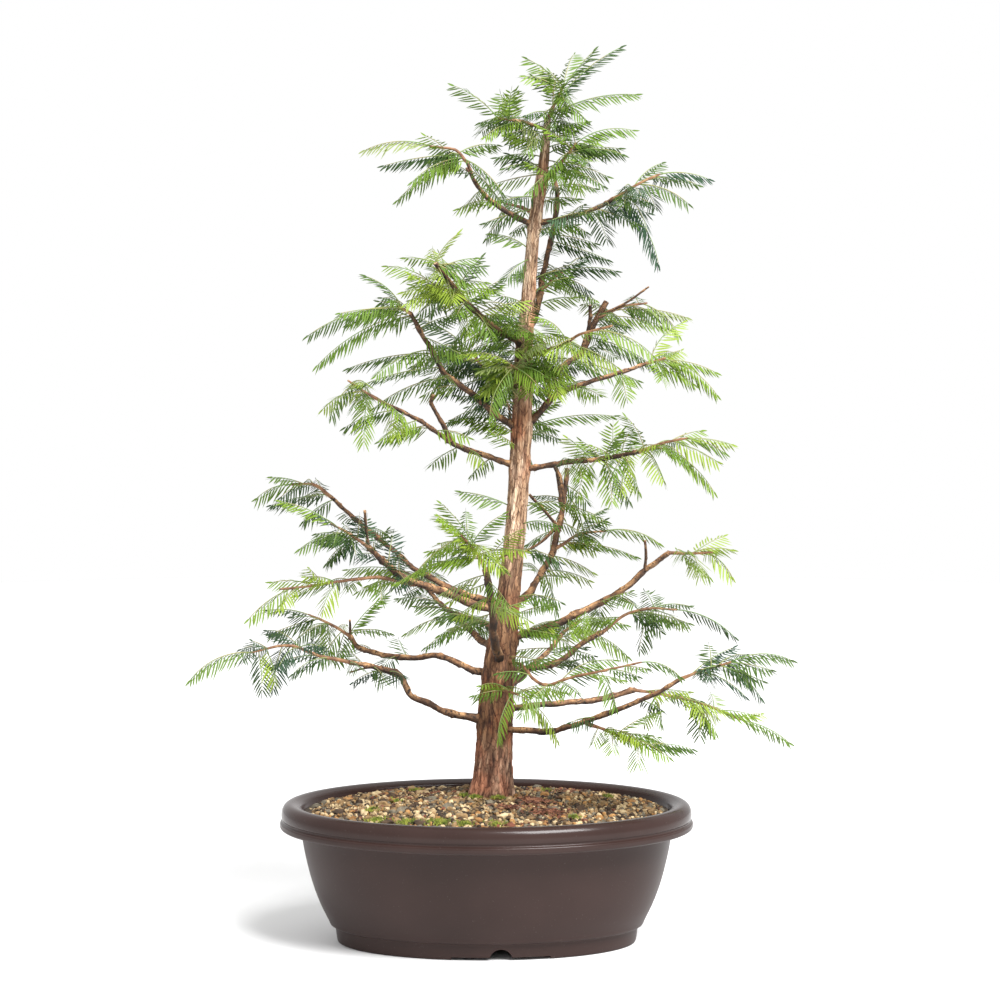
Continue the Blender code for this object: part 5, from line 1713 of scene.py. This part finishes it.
def bough_finish():
    """Thin brown bark with pale strips and dark specks, painted paler on its upper faces and darker
    underneath as light and shade from above.
    """
    made, tree, shader = finish("bough_bark", (0.24, 0.13, 0.08), 0.75)
    specks = noise_node(tree, 420, 4)
    plain = ramp_node(tree, noise_node(tree, 75, 4), (
        (0.36, (0.048, 0.023, 0.012)), (0.5, (0.15, 0.075, 0.037)), (0.64, (0.34, 0.20, 0.105)),
    ))
    dark = mix_node(tree, ramp_node(tree, specks, ((0.38, 1), (0.47, 0))), plain, (0.03, 0.016, 0.01))
    # Painted light and shade: the bark is made paler where it faces up and darker where it faces down.
    painted_top_light = mix_node(tree, top_share(tree, -0.35, 0.75), (0.36, 0.32, 0.29), (1.6, 1.58, 1.46))
    shade = mix_node(tree, relief_share(tree, -0.7, 0.5), (0.5, 0.46, 0.43), (1.2, 1.17, 1.12))
    fill(tree, shader.inputs["Base Color"], multiply(tree, dark, painted_top_light, shade))
    bump_node(tree, shader, specks, 0.4, 0.0006)
    return made


def cut_finish():
    """The cream wood of a sawn end, browned in places."""
    return mottled("cut_wood", (0.62, 0.45, 0.27), 0.7, 500, 3, (
        (0.35, (0.34, 0.20, 0.11)), (0.6, (0.66, 0.48, 0.29)),
    ))


def litter_finish():
    """Red-brown flakes of old bark."""
    return mottled("bark_flakes", (0.16, 0.06, 0.03), 0.9, 140, 3, (
        (0.38, (0.055, 0.02, 0.011)), (0.5, (0.15, 0.05, 0.024)), (0.64, (0.26, 0.115, 0.06)),
    ))


def moss_finish():
    """Moss, from dark to yellow green."""
    return mottled("moss_green", (0.12, 0.18, 0.02), 0.9, 180, 3, (
        (0.36, (0.075, 0.105, 0.012)), (0.52, (0.19, 0.23, 0.025)), (0.66, (0.36, 0.36, 0.06)),
    ))


def twig_finish():
    """Orange-brown skin of young twigs."""
    return mottled("twig_bark", (0.36, 0.19, 0.09), 0.65, 120, 3, (
        (0.35, (0.11, 0.05, 0.024)), (0.55, (0.24, 0.115, 0.052)), (0.7, (0.34, 0.21, 0.10)),
    ), (0.3, 0.0004))


def shoot_finish():
    """The green skin of this year's shoots."""
    return mottled("shoot_skin", (0.24, 0.30, 0.08), 0.5, 40, 2, (
        (0.4, (0.14, 0.23, 0.055)), (0.62, (0.27, 0.24, 0.09)),
    ))


def soil_finish():
    """Dark moist soil."""
    return mottled("dark_soil", (0.05, 0.034, 0.024), 0.95, 260, 5, (
        (0.35, (0.012, 0.008, 0.005)), (0.65, (0.055, 0.035, 0.02)),
    ), (1, 0.002))


def needle_finish(name, colour):
    """Soft needles, a little glossy."""
    made, _, shader = finish(name, colour, 0.5)
    shader.inputs["Specular IOR Level"].default_value = 0.22
    return made


def pot_finish():
    """Dark brown moulded plastic, satin on the wall and glossier on the rim, with specks of dust."""
    made, tree, shader = finish("pot_plastic", (0.07, 0.05, 0.047), 0.4)
    shader.inputs["Specular IOR Level"].default_value = 0.2
    clouds = noise_node(tree, 9, 4)
    specks = ramp_node(tree, noise_node(tree, 700, 2), ((0.70, 0), (0.76, 1)))
    base = ramp_node(tree, clouds, ((0.35, (0.025, 0.0132, 0.0112)), (0.65, (0.034, 0.0186, 0.016))))
    fill(tree, shader.inputs["Base Color"], mix_node(tree, specks, base, (0.07, 0.055, 0.05)))
    satin = ramp_node(tree, clouds, ((0.35, 0.36), (0.65, 0.46)))
    gloss = mix_node(tree, height_share(tree, 0.113, 0.118), satin, (0.2, 0.2, 0.2))
    fill(tree, shader.inputs["Roughness"], gloss)
    bump_node(tree, shader, noise_node(tree, 900, 2), 0.06, 0.0004)
    return made


def grain_finish(tone):
    """Rough stone, speckled between the tone's two colours."""
    _, dark, light = GRAIN_TONES[tone]
    made, tree, shader = finish("stone_" + tone, light, 0.88)
    fine = noise_node(tree, 900, 3)
    base = ramp_node(tree, noise_node(tree, 90, 3), ((0.35, dark), (0.65, light)))
    shade = ramp_node(tree, fine, ((0.35, 0.72), (0.6, 1.08)))
    fill(tree, shader.inputs["Base Color"], multiply(tree, base, shade))
    bump_node(tree, shader, fine, 0.35, 0.0006)
    return made


# ---- studio


def make_camera():
    """The camera, in front and a little above, at the photograph's angle."""
    lens = bpy.data.cameras.new("camera")
    lens.sensor_width = SENSOR
    lens.lens = CAMERA_LENS
    camera = bpy.data.objects.new("camera", lens)
    camera.location = CAMERA_PLACE
    camera.rotation_euler = (math.radians(90 + CAMERA_PITCH), 0, 0)
    bpy.context.scene.collection.objects.link(camera)
    bpy.context.scene.camera = camera


def make_floor():
    """A plain pale floor."""
    vertices = oval(FLOOR_RADIUS, FLOOR_RADIUS, 0, FLOOR_SIDES)
    floor = new_object("floor", vertices, [tuple(range(FLOOR_SIDES))])
    floor.data.materials.append(finish("floor_white", (0.82, 0.82, 0.82), 0.8)[0])


def make_light():
    """A white room of soft light, with a large lamp above and in front on the right."""
    world = bpy.data.worlds.new("room")
    world.use_nodes = True
    background = world.node_tree.nodes["Background"]
    background.inputs["Color"].default_value = (1, 1, 1, 1)
    background.inputs["Strength"].default_value = 1
    bpy.context.scene.world = world
    lamp = bpy.data.lights.new("key", "AREA")
    lamp.size = LAMP_SIZE
    lamp.energy = LAMP_POWER
    made = bpy.data.objects.new("key", lamp)
    made.location = LAMP_PLACE
    made.rotation_euler = (Vector(LAMP_TARGET) - Vector(LAMP_PLACE)).to_track_quat("-Z", "Y").to_euler()
    bpy.context.scene.collection.objects.link(made)
    bpy.context.scene.view_settings.view_transform = "Standard"


noise.seed_set(BEND_SEED)
make_camera()
make_floor()
make_light()
limbs, bough_shapes = lay_out_boughs()
stems = grow_stems(limbs)
sprays = grow_sprays(limbs, stems, bough_shapes)
make_pot()
make_soil()
make_grains()
make_moss()
make_litter()
make_trunk()
make_boughs(limbs)
make_twigs(limbs, stems)
make_foliage(sprays)
